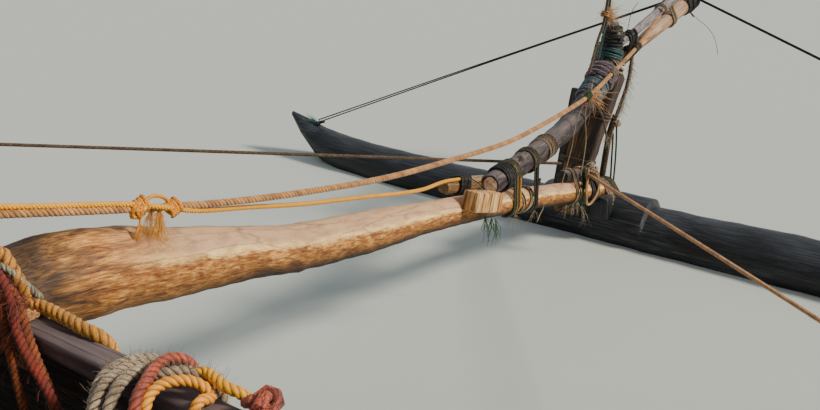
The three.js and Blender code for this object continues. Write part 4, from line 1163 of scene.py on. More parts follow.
shaft_rows = [(*(OAR_FOOT + 0.3 * oar_up), 0.015), (*(OAR_FOOT + 0.9 * oar_up), 0.0245),
              (*ring_place, OAR_SHAFT), (*OAR_HEAD, 0.022)]
shaft = timber(shaft_rows, worn_spar, sides=24, rough=0.006, reference=ACROSS)
t = np.linspace(0, 1, 15)[:, None]
curve = ((1 - t)**3 * (OAR_SHAFT, BLADE_LENGTH) + 3 * t * (1 - t)**2 * (0.165, BLADE_LENGTH - 0.12)
         + 3 * t**2 * (1 - t) * (0.165, 0.25) + t**3 * (0.132, 0.0))
half_thick = np.interp(curve[:, 1], (0, 0.5, BLADE_LENGTH), (0.008, 0.012, BLADE_THICKNESS / 2))
blade = board(np.column_stack([OAR_FOOT + curve[:, 1:] * oar_up, curve[:, 0], half_thick]), worn_spar,
              corner=0.006, hewn=0.0015, reference=ACROSS)
grip = OAR_HEAD - 0.06 * oar_up
tiller = timber([(*(grip + (0, 0.02, 0)), 0.018), (*(grip - (0, 0.33, 0)), 0.016)], smooth_pole,
                sides=20, rough=0.01)
collar = belt(oar_up, [(ring_place + 0.036 * oar_up, OAR_SHAFT)], 4, 0.0062, old_coir, wander=0.1)
piece("oar_timbers", [shaft, blade, tiller, collar], body="oar", stands_for=["steering_oar"])

ring = belt(oar_up, [(ring_place, OAR_SHAFT + 0.004)], 2, 0.0058, coir, wander=0.0)
bar_and_ring = [((BAR_X, 0.44, bar_z), BAR_RADIUS), ((-3.812, 0.44, bar_z + 0.008), 0.006)]
to_bar = belt(ACROSS, bar_and_ring, 4, 0.006, coir, pitch=0.019, seed=8)
piece("oar_ring_turns", [ring, to_bar], stands_for=["oar_ring"])
bar_rows = [(BAR_X, y, bar_z, radius)
            for y, radius in ((-0.312, BAR_RADIUS), (0.1, BAR_RADIUS), (0.52, 0.034))]
bar = timber(bar_rows, rubbed_rail, sides=24, rough=0.03)
piece("steering_bar_pole", [bar], stands_for=["steering_bar"])

# %% [markdown]
# ## Leeboard and mast step
# The leeboard is a plank whose lower corners are rounded off. It hangs outside the gunwale on a peg,
# which stands out of a block. The mast's heel stands in a hewn step on the bottom.

# %% Build the leeboard, its block and the mast step
BOARD_X, BOARD_INNER_Y, BOARD_THICKNESS, PEG_Z = 0.9, 0.424, 0.036, 0.925
BOARD_DROP = 1.23  # from the peg down to where the corners begin
middle_y = BOARD_INNER_Y + BOARD_THICKNESS / 2
turn = np.linspace(0, np.pi / 2, 6)
profile = [(1.035, 0.13), (PEG_Z - BOARD_DROP, 0.21)] + [
    (PEG_Z - BOARD_DROP - 0.118 * np.sin(a), 0.09 + 0.12 * np.cos(a)) for a in turn[1:]]
leeboard = board([(BOARD_X, middle_y, z, half, BOARD_THICKNESS / 2) for z, half in profile], rubbed_rail,
                 corner=0.009, hewn=0.002, reference=ACROSS)
piece("leeboard_plank", [leeboard], body="board", stands_for=["leeboard"])
block = board([(BOARD_X, y, 0.93, 0.075, 0.057) for y in (0.3, BOARD_INNER_Y - 0.001)],
              rubbed_rail, corner=0.008, hewn=0.002)
peg = timber([(BOARD_X, y, PEG_Z, 0.0165) for y in (0.41, 0.46, 0.475)], worn_spar, sides=24, rough=0.0)
head_rows = [(BOARD_X, y, PEG_Z, radius) for y, radius in ((0.4612, 0.033), (0.472, 0.034), (0.4825, 0.028))]
peg_head = timber(head_rows, worn_spar, sides=32, spacing=0.003, rough=0.008)
piece("leeboard_block_shape", [block, peg, peg_head], stands_for=["leeboard_block"])
step = board([(x, 0, -0.337, 0.12, 0.067) for x in (-0.17, 0.17)], oiled_hull, corner=0.01, hewn=0.004)
piece("mast_step_block", [step], stands_for=["mast_step"])

# %% [markdown]
# ## Stays
# The stays are laid ropes in their real thickness. A taut rope is still no straight line: each one
# follows a few given points, so that it sags as its weight asks. What is a pair in the picture
# is a pair here.

# %% Build the stays
COIR_STAY = mm([
    (1675, 145, 1358), (1700, -60, 1290), (1700, -275, 1223), (1700, -587, 1126), (1700, -890, 1040),
    (1700, -1236, 959), (1700, -1571, 892), (1710, -1989, 829), (1720, -2352, 783), (1730, -2700, 773),
    (1738, -3000, 778), (1745, -3130, 788), (1760, -3380, 831), (1770, -3605, 876), (1786, -3860, 955),
    (1800, -4020, 1020)])
STAY_RADIUS = 0.01
POLE_HEAD = (1.776, -4.248, 1.022)
FLOAT_STAY = [POLE_HEAD, (2.698, -3.854, 0.618), (3.605, -3.466, 0.208)]
CROSS_STAY = [POLE_HEAD, (0.168, -3.854, 0.588), (-1.44, -3.46, 0.162)]
BOW_BRACE = mm([(1975, -3325, 345), (3170, -1735, 638), (4340, -165, 925), (4364, -120, 935)])
HULL_BRACES = [
    mm([(1816, -3220, 374), (350, -1820, 636), (-1120, -302, 950)]),
    mm([(-1816, -3220, 356), (-430, -1806, 572), (950, -302, 945)]),
]
SHROUD = mm([
    (18, -36, 7380), (920, -1720, 4130), (1640, -3060, 1550)])


def doubled(points):
    """Two thin black cords that leave a place together and part to 15 mm at the other end."""
    parting = np.array([0.0066, 0.0072, 0.015])[:, None] * UP
    return [rope(np.array(points) + parting * share, 0.0034, black_cord, strands=0, sides=6)
            for share in (0, 1)]


SHROUD_END = mm([(1752, -3212, 1190), (1790, -3262, 1042), (1800, -3243, 980), (1800, -3176, 843)])
TEAL_END = mm([(1766, -3268, 1170), (1786, -3290, 1060), (1792, -3275, 990), (1800, -3262, 885)])
teal_shroud = [*(np.array(SHROUD) + (0.01, -0.016, 0)), *TEAL_END]
# Columns: name, skins, record slot
stays = [
    ("coir_stay", [rope(COIR_STAY, STAY_RADIUS, coir, lay=3.9, sides=12, rings=10)], "coir"),
    ("float_stay", doubled(FLOAT_STAY), "black_cord"),
    ("bow_brace", [rope(BOW_BRACE, 0.0075, brown_cord, strands=0, sides=8)], "brown_cord"),
    ("shroud", [rope([*SHROUD, *SHROUD_END], 0.0062, brown_cord, strands=0, sides=6),
                rope(teal_shroud, 0.005, teal_cord, strands=0, sides=6)], "black_cord"),
]
for name, skins, slot in stays:
    twins(f"{name}_rope", skins, name)
for word, points in zip(("fore", "aft"), HULL_BRACES):
    piece(f"hull_brace_rope_{word}", [rope(points, 0.008, coir, sides=8, rings=6)],
          stands_for=[f"hull_brace_{word}"])
piece("cross_stay_rope", doubled(CROSS_STAY), stands_for=["cross_stay"])

# %% [markdown]
# ## Sewn seams
# The planks are sewn to the log with coir. A round batten of coconut fibre covers the seam on both
# faces, and stitches cross over it through holes in the wood. There are hundreds of stitches, so each
# one is a short arch with few faces, and all of them are worked out in one array.

# %% Sew the planks to the log
STITCH_STEP, STITCH_REACH, STITCH_RADIUS, BATTEN = 0.06, 0.042, 0.0035, 0.01


def seam(side, face):
    """Points along the seam on one face of a plank, from stern to bow; face is 1 outside and -1 inside."""
    x = np.linspace(-4.28, 4.28, 150)
    _, _, _, top, top_breadth = hull_at(x)
    y = top_breadth + (BATTEN * 0.8 if face > 0 else -PLANK - BATTEN * 0.8)
    return np.column_stack([x, side * y, top])


def stitches(side, face, lean):
    """Arches over the batten, for t from -1 to 1.

    x = place + lean * step / 2 * t, z = top + reach * t, out = batten * (2.3 cos(pi t / 2) - 1.3).
    """
    rings, sides = 5, 4
    line = evenly(seam(side, face), STITCH_STEP)[1:-1, None]
    t = np.linspace(-1, 1, rings)[None, :, None]
    out = np.array([0, side * face, 0])
    path = line + t * np.array([lean * STITCH_STEP / 2, 0, STITCH_REACH]) + out * BATTEN * (
        2.3 * np.cos(t * np.pi / 2) - 1.3)
    angle = np.linspace(0, 2 * np.pi, sides, endpoint=False)
    across = STITCH_RADIUS * np.stack([np.cos(angle), np.sin(angle)], axis=-1)
    return (*sweep(path, np.broadcast_to(across, (*path.shape[:2], sides, 2)), ALONG), old_coir)


for side, word in SIDES:
    skins = [cord(seam(side, face), BATTEN, old_coir, strands=0, sides=7) for face in (1, -1)]
    skins += [stitches(side, face, lean) for face in (1, -1) for lean in (1, -1)]
    piece(f"seam_sewing_{word}", skins)

# %% [markdown]
# ## Lashings of the hull
# Cord passes round each gunwale and through a hole in the plank below it, every half metre or so.
# Thwarts and steering bar are tied down the same way. A rectangular timber is wrapped by giving
# `belt` its four corners as small circles.

# %% Lash the gunwales, the thwarts and the steering bar
CORNER_CIRCLE = 0.01  # a timber's corner, as the cord goes round it
RAIL_LASHINGS = (-4.1, -3.45, -2.6, -2.2, -1.05, -0.55, 0.55, 2.25, 2.65, 3.45, 4.1)


def beam_corners(centre, half_y, half_z):
    """Four small circles in the corners of a timber that runs along X."""
    x, y, z = centre
    return [((x, y + a * (half_y - CORNER_CIRCLE), z + b * (half_z - CORNER_CIRCLE)), CORNER_CIRCLE)
            for a in (-1, 1) for b in (-1, 1)]


for side, word in SIDES:
    rail_turns = []
    for number, x in enumerate(RAIL_LASHINGS):
        centre = (x, rail_middle(side, x), sheer(x) - RAIL_DEPTH / 2 - 0.012)
        finish = (old_coir, slate_cord, old_coir)[number % 3]
        rail_turns.append(belt(ALONG, beam_corners(centre, RAIL_WIDTH / 2, RAIL_DEPTH / 2 + 0.014), 4, 0.005,
                               finish, seed=number))
    piece(f"rail_lashings_{word}", rail_turns)

thwart_turns = []
# Columns: x of the thwart, distance of the turns from its middle
for x, apart in ((3.0, 0.055), (0.0, 0.11), (-3.0, 0.055)):
    low, high = sheer(x) - RAIL_DEPTH - 0.03, sheer(x) - LET_IN + THWART_THICKNESS
    for side in (-1, 1):
        for offset in (-apart, apart):
            centre = (x + offset, rail_middle(side, x), (low + high) / 2)
            thwart_turns.append(belt(ALONG, beam_corners(centre, RAIL_WIDTH / 2 + 0.004, (high - low) / 2), 4,
                                     0.0055, coir, seed=int(30 * offset + 5 + side)))
piece("thwart_lashings", thwart_turns)

bar_turns = []
low = sheer(BAR_X) - RAIL_DEPTH - 0.02
for side in (-1, 1):
    y = rail_middle(side, BAR_X)
    for offset in (-0.03, 0.03):
        circles = [((BAR_X + offset, y, bar_z), BAR_RADIUS),
                   *beam_corners((BAR_X + offset, y, low + 0.03), RAIL_WIDTH / 2, 0.03)]
        bar_turns.append(belt(ALONG, circles, 3, 0.0055, old_coir, seed=3))
piece("steering_bar_lashings", bar_turns)

# %% [markdown]
# ## Lashings of the booms
# Where a boom crosses a gunwale it takes the whole pull of the float, so the lashing there is the
# thickest in the boat: many turns round the boom on both sides of the gunwale, down through the
# plank, with frayed ends left hanging.

# %% Lash the booms to the hull
def round_boom(y, turns, radius, finish, **shape):
    """Turns round the fore boom where it crosses a given y."""
    along = unit(crossing(BOOM, y - 0.02)[:3] - crossing(BOOM, y + 0.02)[:3])
    *centre, size = crossing(BOOM, y)
    return belt(along, [(centre, size)], turns, radius, finish, **shape)


boom_lashing = [
    round_boom(0.225, 5, 0.009, rust_cord, seed=1), round_boom(0.355, 5, 0.009, old_coir, seed=2),
    round_boom(-0.232, 6, 0.0085, rust_cord, seed=3, wander=1.2),
    round_boom(-0.222, 3, 0.01, red_cord, seed=4, wander=3.0),
]
for side in (-1, 1):
    for x, finish in ((1.69, coir), (1.905, old_coir)):
        centre = (x, rail_middle(side, x), sheer(x) - RAIL_DEPTH / 2 - 0.02)
        corners = beam_corners(centre, RAIL_WIDTH / 2, RAIL_DEPTH / 2 + 0.022)
        boom_lashing.append(belt(ALONG, corners, 3, 0.0065, finish, seed=7))
# Three frayed tails of the red lashing lie down the inner side of the plank
RED_TAILS = [
    mm([
        (1725, -262, 1100), (1690, -250, 1088), (1662, -242, 1062), (1650, -236, 1023), (1622, -224, 990),
        (1578, -212, 960), (1530, -205, 925), (1490, -200, 880), (1470, -205, 800)]),
    mm([
        (1702, -250, 1090), (1680, -238, 1050), (1676, -228, 985), (1650, -216, 940), (1632, -210, 880),
        (1620, -212, 790)]),
    mm([
        (1690, -262, 1075), (1655, -256, 1030), (1622, -243, 985), (1592, -236, 938), (1560, -230, 900),
        (1540, -228, 830)]),
]
for points, finish, radius in zip(RED_TAILS, (rust_cord, fox_cord, fox_cord), (0.011, 0.01, 0.012)):
    boom_lashing.append(rope(points, radius, finish))
    roots = evenly(spline(points, 0.02), 0.03)[1:]
    boom_lashing.append(fibres(roots, (-0.4, 0.1, -0.8), 0.05, 60, 0.0009, 0.5, 0.3, finish,
                               seed=len(boom_lashing)))
twins("boom_lashing", boom_lashing)

# %% [markdown]
# ## Ropes on the near gunwale
# The corner of the gunwale that the picture starts with carries a heap of odd ropes: a thick mustard
# line, frayed cotton, a red rope and a yellow one. Each follows points that were placed on the rail,
# and fibres stand out of the cotton.

# %% Lay the ropes on the near gunwale
MUSTARD = mm([
    (1760, -262, 1118), (1745, -288, 1124), (1725, -290, 1104), (1708, -292, 1076), (1700, -298, 1045),
    (1712, -306, 1014), (1700, -317, 1004), (1663, -322, 1002), (1604, -319, 1001), (1543, -317, 998),
    (1502, -325, 988), (1488, -337, 960), (1480, -337, 900)])
FLECKED = mm([
    (1735, -268, 1108), (1712, -280, 1095), (1697, -300, 1060), (1697, -325, 1025), (1700, -350, 992),
    (1715, -366, 950)])
COTTON = [
    mm([
        (1300, -132, 930), (1319, -160, 975), (1335, -195, 1002), (1346, -230, 1004), (1350, -262, 1002),
        (1336, -292, 1001), (1320, -318, 996), (1316, -342, 965), (1318, -345, 910)]),
    mm([
        (1275, -140, 925), (1292, -170, 980), (1306, -205, 1006), (1318, -245, 1008), (1316, -280, 1004),
        (1300, -312, 1001), (1290, -338, 980), (1292, -345, 920)]),
    mm([
        (1335, -160, 940), (1350, -190, 985), (1366, -225, 1000), (1374, -262, 998), (1362, -300, 998),
        (1350, -330, 986), (1350, -344, 930)]),
    mm([
        (1290, -262, 1004), (1262, -285, 1012), (1240, -305, 1013), (1208, -322, 1004), (1186, -338, 982),
        (1182, -345, 930)]),
]
RED_LOOP = mm([
    (1215, -160, 930), (1232, -178, 985), (1243, -196, 1010), (1261, -233, 1020), (1285, -285, 1022),
    (1286, -316, 1020), (1271, -339, 1008), (1256, -350, 975), (1250, -346, 915)])
ORANGE_LOOP = mm([
    (1215, -185, 945), (1228, -200, 992), (1237, -222, 1010), (1237, -246, 1016), (1226, -267, 1018),
    (1207, -288, 1014), (1184, -298, 1006), (1166, -300, 990), (1158, -262, 1002), (1160, -240, 975)])
YELLOW_LOOP = mm([
    (1225, -312, 1012), (1206, -326, 1014), (1179, -322, 1012), (1146, -318, 1008), (1116, -330, 996),
    (1100, -345, 960), (1098, -346, 905)])
FUZZ_HEADINGS = [(0, 0, 0.6), (-0.2, 0, 0.6), (0.2, 0, 0.5), (0, -0.3, 0.8)]
# Columns: points, radius, finish
NEAR_ROPES = [
    (MUSTARD, 0.0155, mustard_rope), (FLECKED, 0.0085, flecked_cord), (RED_LOOP, 0.0125, red_cord),
    (ORANGE_LOOP, 0.0115, orange_cord), (YELLOW_LOOP, 0.012, yellow_cord),
    *[(points, 0.0125, cream_cord) for points in COTTON],
]
near_ropes = [rope(points, radius, finish, sides=14, rings=10) for points, radius, finish in NEAR_ROPES]
near_ropes.append(knot((1.066, -0.325, 1.0), 0.03, 0.012, red_cord, tilt=0.5))
for number, (points, heading) in enumerate(zip(COTTON, FUZZ_HEADINGS)):
    roots = evenly(spline(points, 0.02), 0.015)[2:-2]
    near_ropes.append(fibres(roots, heading, 0.028, 240, 0.0007, 0.5, 0.25, cream_cord, seed=number))
red_roots = [(1.725, -0.262, 1.1), (1.68, -0.245, 1.07), (1.66, -0.25, 1.05)]
near_ropes.append(fibres(red_roots, (-0.3, -0.1, 0.1), 0.05, 160, 0.0008, 0.6, 0.4, red_cord, seed=9))
piece("near_rail_ropes", near_ropes)

# %% [markdown]
# ## The yellow line
# A thin yellow line runs with the coir stay, crosses under it at a clump of orange knots, and comes
# down to the stub beside the boom. Sun has turned the loose end of the knot into a beard of fibres.

# %% Run the yellow line along the coir stay
YELLOW_LINE = mm([
    (1668, 150, 1385), (1690, 0, 1327), (1700, -278, 1238), (1700, -380, 1204), (1697, -570, 1144),
    (1686, -655, 1112), (1700, -778, 1056), (1715, -966, 996), (1730, -1192, 924), (1755, -1460, 846),
    (1800, -1880, 724), (1836, -2090, 680), (1838, -2240, 645)])
ORANGE_ARCH = mm([
    (1695, -612, 1128), (1690, -640, 1140), (1694, -672, 1130), (1702, -700, 1106), (1702, -716, 1078)])
ORANGE_ENDS = [
    mm([
        (1700, -655, 1112), (1694, -668, 1090), (1694, -664, 1060), (1698, -650, 1030)]),
    mm([
        (1702, -612, 1110), (1694, -606, 1086), (1692, -590, 1070)]),
]


def stay_at(y):
    """Centre of the coir stay where it crosses a given y."""
    return crossing(COIR_STAY, y)


ORANGE_DOWN = (0, 1, -0.3)
to_stub = [((1.858, -2.225, 0.618), 0.0285), ((1.838, -2.225, 0.648), 0.0056)]
yellow = [
    rope(YELLOW_LINE, 0.0075, yellow_cord, sides=7, rings=5),
    belt((0, 1, 0.23), to_stub, 8, 0.0046, black_cord, seed=5),
    rope(ORANGE_ARCH, 0.0052, orange_cord),
    knot((1.697, -0.604, 1.124), 0.019, 0.0062, orange_cord, tilt=0.3),
    knot((1.697, -0.6, 1.112), 0.015, 0.0055, orange_cord, tilt=1.3),
    belt(ORANGE_DOWN, [(stay_at(-0.612), STAY_RADIUS), ((1.697, -0.612, 1.131), 0.006)], 4, 0.005,
         orange_cord),
    belt(ORANGE_DOWN, [(stay_at(-0.708), STAY_RADIUS), ((1.692, -0.708, 1.084), 0.006)], 4, 0.0045,
         orange_cord),
    fibres([(1.7, -0.65, 1.112), (1.697, -0.668, 1.1)], (-0.05, 0.3, -0.85),
           0.115, 120, 0.0006, 0.22, 0.2, orange_fray, seed=5),
]
for number, end in enumerate(ORANGE_ENDS):
    yellow.append(rope(end, 0.0035, orange_cord))
    yellow.append(fibres(end[1:], (-0.1, 0.1, -0.7), 0.06 - 0.03 * number, 80, 0.0006, 0.35, 0.3, orange_fray,
                         seed=number))
twins("yellow_line", yellow)

# %% [markdown]
# ## Lashings at the outer end
# Every cord that came to hand has been used out here, one over the other: coir, net cord, strips of
# cloth. Most are plain turns round two timbers. `around` finds the place on a pole and hands it to
# `belt` together with whatever else the turns take in.

# %% Lash the brace pole's foot
def pole_at(rows, place, column=1):
    """Centre, radius and direction of a pole where x, y or z (column 0, 1 or 2) comes nearest to a place."""
    path = spline(rows, 0.005)
    near = int(np.clip(np.argmin(np.abs(path[:, column] - place)), 1, len(path) - 2))
    return path[near, :3], path[near, 3], unit(path[near + 1, :3] - path[near - 1, :3])


def around(rows, place, turns, radius, finish, column=1, extra=(), **shape):
    """Turns round a pole, and round more circles, at a place on it."""
    centre, size, along = pole_at(rows, place, column)
    return belt(along, [(centre, size), *extra], turns, radius, finish, **shape)


def circle(rows, y):
    """The circle of a pole at a given y, for turns that take it in."""
    centre, size, _ = pole_at(rows, y)
    return centre, size


# Columns: y, turns, radius, finish, pitch, seed
POLE_AND_BOOM = [(-2.48, 3, 0.0055, olive_cord, 0.017, 1), (-2.505, 2, 0.0035, yellow_cord, 0.026, 2),
                 (-2.655, 2, 0.0052, black_cord, 0.012, 3), (-2.64, 1, 0.004, olive_cord, 0.03, 4)]
# Columns: finish, pitch, seed
CROSSED = [(cream_cord, 0.15, 5), (cream_cord, -0.14, 6), (olive_cord, -0.09, 7), (old_coir, 0.1, 8)]
foot = [belt(ACROSS, [circle(BRACE_POLE, y), circle(BOOM, y)], turns, radius, finish, pitch=pitch, seed=seed)
        for y, turns, radius, finish, pitch, seed in POLE_AND_BOOM]
foot += [around(BOOM, -2.575, 1, 0.004, finish, pitch=pitch, seed=seed) for finish, pitch, seed in CROSSED]
foot += [
    around(BRACE_POLE, -2.44, 5, 0.0058, black_cord, seed=9),
    around(BRACE_POLE, -2.5, 4, 0.005, olive_cord, seed=10),
    around(BRACE_POLE, -2.65, 3, 0.0046, brown_cord, pitch=0.014, seed=12),
    around(BRACE_POLE, -2.79, 8, 0.0036, old_coir, wander=1.2, seed=13),
    around(BRACE_POLE, -2.815, 4, 0.004, brown_cord, seed=14),
    knot((1.782, -2.548, 0.64), 0.016, 0.005, olive_cord),
    knot((1.752, -2.655, 0.52), 0.013, 0.0045, black_cord, tilt=1.2),
    # Two thin ends run from the stub to the chock, and under it the ends of a green cord hang down
    rope([(1.835, -2.262, 0.64), (1.775, -2.225, 0.644), (1.716, -2.188, 0.64)], 0.0022, brown_cord),
    rope([(1.842, -2.25, 0.642), (1.782, -2.215, 0.645), (1.725, -2.178, 0.642)], 0.002, cream_cord),
    fibres([(1.73, -2.205, 0.53), (1.735, -2.26, 0.5), (1.74, -2.3, 0.48)], (0, -0.25, -0.9),
           0.12, 26, 0.002, 0.16, 0.1, green_cord, seed=16),
    fibres([(1.76, -2.655, 0.39), (1.765, -2.5, 0.43)], (0, 0.25, -0.8),
           0.07, 22, 0.0012, 0.4, 0.1, cream_cord, seed=17),
]
twins("brace_foot_lashing", foot)

# %% [markdown]
# ## The brace pole's head
# The head carries the most: slate cord, strips of violet cloth, teal and black cord, one over the
# other. A bush of coconut fibre sits where the shroud comes down, and the coir stay is tied on below.

# %% Lash the brace pole's head
STAY_DOWN = (0.03, -0.93, 0.35)
tuft_root = [(1.777, -3.25, 1.1), (1.782, -3.262, 1.086), (1.786, -3.28, 1.074)]
# Columns: pitch, what else the turn takes in
CREAM_TURNS = [(0.07, ()), (-0.08, ()), (0.03, [circle(OUTER_POLE, -3.48)]), (-0.12, ())]
head = [
    around(BRACE_POLE, 0.742, 7, 0.0068, slate_cord, column=2, wander=0.6, seed=21),
    around(BRACE_POLE, 0.795, 4, 0.011, violet_cloth, column=2, pitch=0.019, seed=22),
    around(BRACE_POLE, 0.815, 2, 0.01, violet_cloth, column=2, pitch=-0.034, seed=23),
    *[around(BRACE_POLE, 0.828, 1, 0.0034, cream_cord, column=2, pitch=pitch, seed=24, extra=extra)
      for pitch, extra in CREAM_TURNS],
    around(BRACE_POLE, 0.872, 4, 0.0062, teal_cord, column=2, wander=0.4, seed=25,
           extra=[((1.806, -3.447, 0.885), 0.017)]),
    around(BRACE_POLE, 0.936, 9, 0.0054, black_cord, column=2, wander=1.0, seed=26),
    around(BRACE_POLE, 0.985, 4, 0.005, olive_cord, column=2, wander=1.4, seed=27),
    knot((1.768, -3.4, 0.955), 0.018, 0.005, black_cord),
    knot((1.77, -3.385, 0.985), 0.008, 0.004, cream_cord),
    rope([(1.8, -3.392, 1.012), (1.794, -3.352, 1.052), (1.784, -3.29, 1.074), (1.777, -3.25, 1.094)],
         0.006, green_cord),
    # A bush of coconut fibre is caught where the shroud meets the pole's head
    fibres(tuft_root, (0, -0.7, 0.1), 0.085, 440, 0.0009, 0.36, 0.1, coir_tuft, seed=28),
    fibres(tuft_root, (0, -0.95, -0.1), 0.19, 26, 0.0009, 0.1, 0.15, coir_tuft, seed=29),
    belt((-0.1, -0.25, 1), [((1.779, -3.252, 1.095), 0.012)], 3, 0.004, coir, seed=30),
    # The coir stay is tied to the pole's head, and the ends of the tie are frayed
    belt(STAY_DOWN, [(stay_at(-3.045), STAY_RADIUS)], 5, 0.0034, green_cord, pitch=0.01, seed=31),
    knot(stay_at(-3.03) - (0, 0, 0.02), 0.008, 0.0036, red_cord),
    belt(STAY_DOWN, [(stay_at(-3.33), STAY_RADIUS), ((1.79, -3.33, 0.8), 0.02)], 4, 0.0042, old_coir,
         seed=32),
    fibres([stay_at(-3.06), stay_at(-3.1)], (0, -0.75, -0.45), 0.11, 110, 0.0016, 0.45, 0.2, coir_tuft,
           seed=33),
    rope([stay_at(-3.08), (1.742, -3.15, 0.725), (1.74, -3.225, 0.64), (1.742, -3.29, 0.525)], 0.0052,
         brown_cord),
    fibres([(1.742, -3.288, 0.53)], (0, -0.15, -0.5), 0.05, 50, 0.001, 0.5, 0.2, cream_cord, seed=34),
    rope([stay_at(-3.06), (1.762, -3.085, 0.69), (1.762, -3.11, 0.56), (1.765, -3.09, 0.4)], 0.0024,
         cream_cord),
    rope([stay_at(-3.04), (1.755, -2.99, 0.69), (1.753, -2.95, 0.575), (1.765, -2.9, 0.42)], 0.002,
         cream_cord),
]
twins("brace_head_lashing", head)

# %% [markdown]
# ## Ties between boom, post and float
# The boom's end is bound down to the float, the packing log is bound to the boom, and the post is
# bound to the slim upright that stands beside it. Where turns go over flat faces they are given the
# post's corners as circles.

# %% Bind the boom's end to the float and the post
POST_UP = unit(np.array(POST[2][:3]) - np.array(POST[0][:3]))
POST_CORNER = 0.008  # the circle in a corner of the post


def post_corners(z):
    """Small circles in the post's corners at a height."""
    path = evenly(np.array(POST), 0.01)
    x, y, half_width, half_depth = (np.interp(z, path[:, 2], path[:, k]) for k in (0, 1, 3, 4))
    return [((x + a * (half_width - POST_CORNER), y + b * (half_depth - POST_CORNER), z), POST_CORNER)
            for a in (-1, 1) for b in (-1, 1)]


def log_and_boom(y, turns, radius, finish, **shape):
    """Turns round the packing log and the boom."""
    return belt((0, 1, 0.2), [circle(PACKING_LOG, y), circle(BOOM, y)], turns, radius, finish, **shape)


ties = [
    log_and_boom(-3.075, 2, 0.0042, old_coir, pitch=0.014, seed=41),
    log_and_boom(-3.1, 1, 0.0036, brown_cord, seed=42),
    log_and_boom(-3.255, 4, 0.0062, black_cord, wander=1.0, seed=43),
    log_and_boom(-3.3, 3, 0.0052, brown_cord, seed=44),
    around(PACKING_LOG, -3.215, 3, 0.006, coir, seed=45),
    knot((1.788, -3.268, 0.372), 0.02, 0.0065, cream_cord, tilt=0.8),
    *[belt(ACROSS, [circle(BOOM, y), ((1.718, y, 0.135), 0.006), ((1.905, y, 0.135), 0.006)], turns, 0.0062,
           finish, seed=46) for y, turns, finish in ((-3.405, 4, old_coir), (-3.475, 5, olive_cord))],
    belt(POST_UP, [*post_corners(0.345), ((2.005, -3.41, 0.345), 0.014)], 3, 0.0046, brown_cord, seed=47),
    belt(POST_UP, [*post_corners(0.56), ((1.993, -3.452, 0.56), 0.014)], 3, 0.0038, brown_cord,
         pitch=0.011, wander=1.5, seed=48),
    belt(POST_UP, [*post_corners(0.765), circle(OUTER_POLE, -3.56)], 3, 0.005, cream_cord,
         pitch=0.016, wander=1.5, seed=49),
    belt(POST_UP, post_corners(0.85), 4, 0.0055, old_coir, seed=50),
    around(OUTER_POLE, -3.62, 5, 0.0046, olive_cord, extra=[(stay_at(-3.62), STAY_RADIUS)], seed=51),
    around(OUTER_POLE, -3.64, 2, 0.003, yellow_cord, extra=[(stay_at(-3.64), STAY_RADIUS)], seed=52),
    around(COMPANION_POLE, -3.59, 6, 0.0062, black_cord, wander=1.2, seed=53,
           extra=[circle(OUTER_POLE, -3.59)]),
    around(OUTER_POLE, -4.03, 4, 0.0046, old_coir, wander=0.8, seed=54,
           extra=[(stay_at(-4.02), STAY_RADIUS)]),
    around(OUTER_POLE, -4.235, 5, 0.0075, black_cord, wander=0.8, seed=55),
    around(COMPANION_POLE, -4.18, 4, 0.005, black_cord, extra=[circle(OUTER_POLE, -4.18)], seed=56),
    around(COMPANION_POLE, -3.935, 2, 0.004, old_coir, wander=1.5, seed=57),
    knot((1.778, -3.9, 1.004), 0.013, 0.0042, cream_cord),
    rope([(1.8, -4.24, 0.975), (1.786, -4.262, 0.955), (1.765, -4.272, 0.93), (1.745, -4.276, 0.905)],
         0.0045, green_cord),
    rope([(1.8, -3.56, 0.965), (1.804, -3.6, 1.04), (1.795, -3.645, 1.08)], 0.0016, black_cord),
    rope([(1.76, -4.278, 0.925), (1.731, -4.295, 0.894), (1.691, -4.3, 0.868), (1.65, -4.3, 0.831),
          (1.623, -4.3, 0.783), (1.606, -4.3, 0.723)], 0.0014, black_cord, strands=0, sides=4),
    knot((3.598, -3.462, 0.207), 0.014, 0.0056, teal_cord, tilt=0.6),
    knot((3.572, -3.468, 0.217), 0.01, 0.0046, black_cord),
    fibres([(3.606, -3.46, 0.21), (3.62, -3.46, 0.214)], (0.85, 0, 0.2), 0.085, 70, 0.0012, 0.22, 0.0,
           teal_fray, seed=58),
]
twins("outer_ties", ties)

# %% [markdown]
# ## Hanging cords
# Ends that nobody cut off hang round the post. A heavy twisted rope comes down its outer face with a
# fringe of loose fibre, dark green net cord hangs from it, and a loop of tan rope and a bunch of
# green twine hang over the boom's end.

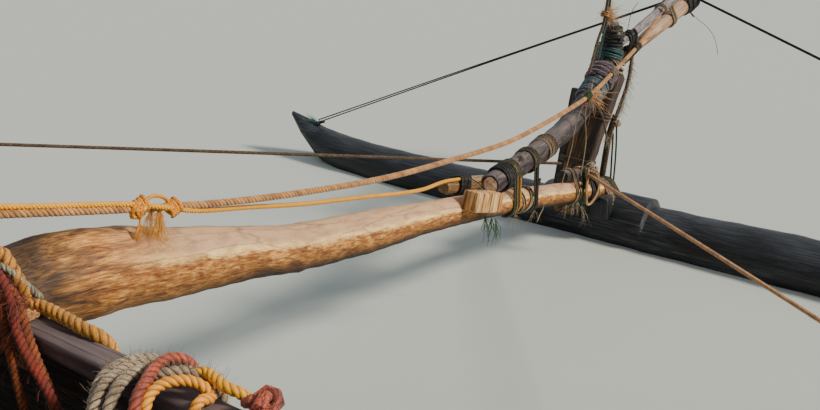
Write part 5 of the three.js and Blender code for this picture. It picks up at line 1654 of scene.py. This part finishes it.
# %% Hang the loose cords round the post
TWISTED_ROPE = mm([
    (1818, -3690, 850), (1814, -3674, 790), (1812, -3657, 724), (1824, -3652, 644), (1840, -3648, 582),
    (1854, -3645, 525), (1872, -3642, 441), (1881, -3637, 357), (1887, -3631, 263), (1890, -3622, 175),
    (1888, -3614, 115)])
TAN_LOOP = mm([
    (1790, -3216, 396), (1762, -3249, 376), (1757, -3272, 334), (1754, -3265, 278), (1756, -3209, 237),
    (1754, -3155, 249), (1752, -3133, 325), (1764, -3165, 386), (1792, -3222, 402)])
GREEN_DROPS = [
    mm([
        (1853, -3650, 476), (1851, -3652, 440), (1843, -3645, 348), (1838, -3632, 178), (1840, -3618, 110)]),
    mm([
        (1868, -3652, 430), (1866, -3650, 394), (1861, -3642, 313), (1852, -3628, 176), (1852, -3617, 115)]),
]
fringe_roots = evenly(spline(TWISTED_ROPE[1:6], 0.02), 0.015)
hanging = [
    rope(TWISTED_ROPE, 0.0105, old_coir),
    rope(np.array(TWISTED_ROPE[5:]) + (0.015, 0.002, 0), 0.0085, brown_cord),
    fibres(fringe_roots, (-0.1, -0.25, -0.35), 0.05, 280, 0.001, 0.45, 0.4, cream_cord, seed=61),
    knot((1.853, -3.65, 0.482), 0.02, 0.006, cream_cord),
    knot((1.868, -3.65, 0.466), 0.013, 0.005, green_cord, tilt=0.9),
    *[rope(points, 0.005, green_cord) for points in GREEN_DROPS],
    rope(TAN_LOOP, 0.0062, old_coir),
    rope(np.array(TAN_LOOP) * (1, 1, 0.94) + (-0.003, 0.012, 0.018), 0.005, coir),
    knot((1.782, -3.222, 0.408), 0.017, 0.0058, cream_cord, tilt=0.4),
    fibres([(1.783, -3.17, 0.42), (1.776, -3.16, 0.41)], (-0.16, 0.38, -1.2),
           0.185, 30, 0.002, 0.06, -0.1, green_cord, seed=62),
    fibres([(1.753, -3.09, 0.262), (1.755, -3.11, 0.25)], (0, -0.4, -0.8), 0.12, 14, 0.0016, 0.14, 0.2,
           cream_cord, seed=63),
    fibres([(1.758, -2.95, 0.31), (1.758, -3.01, 0.3), (1.756, -3.06, 0.29)], (0, 0.1, -0.9),
           0.06, 40, 0.0012, 0.3, 0.1, cream_cord, seed=64),
    rope([(1.768, -2.745, 0.392), (1.762, -2.735, 0.372), (1.758, -2.7, 0.352), (1.756, -2.672, 0.33)],
         0.0022, cream_cord),
]
twins("hanging_cords", hanging)

# %% Finish
print("new pieces:", len(tally), "triangles:", sum(tally.values()))
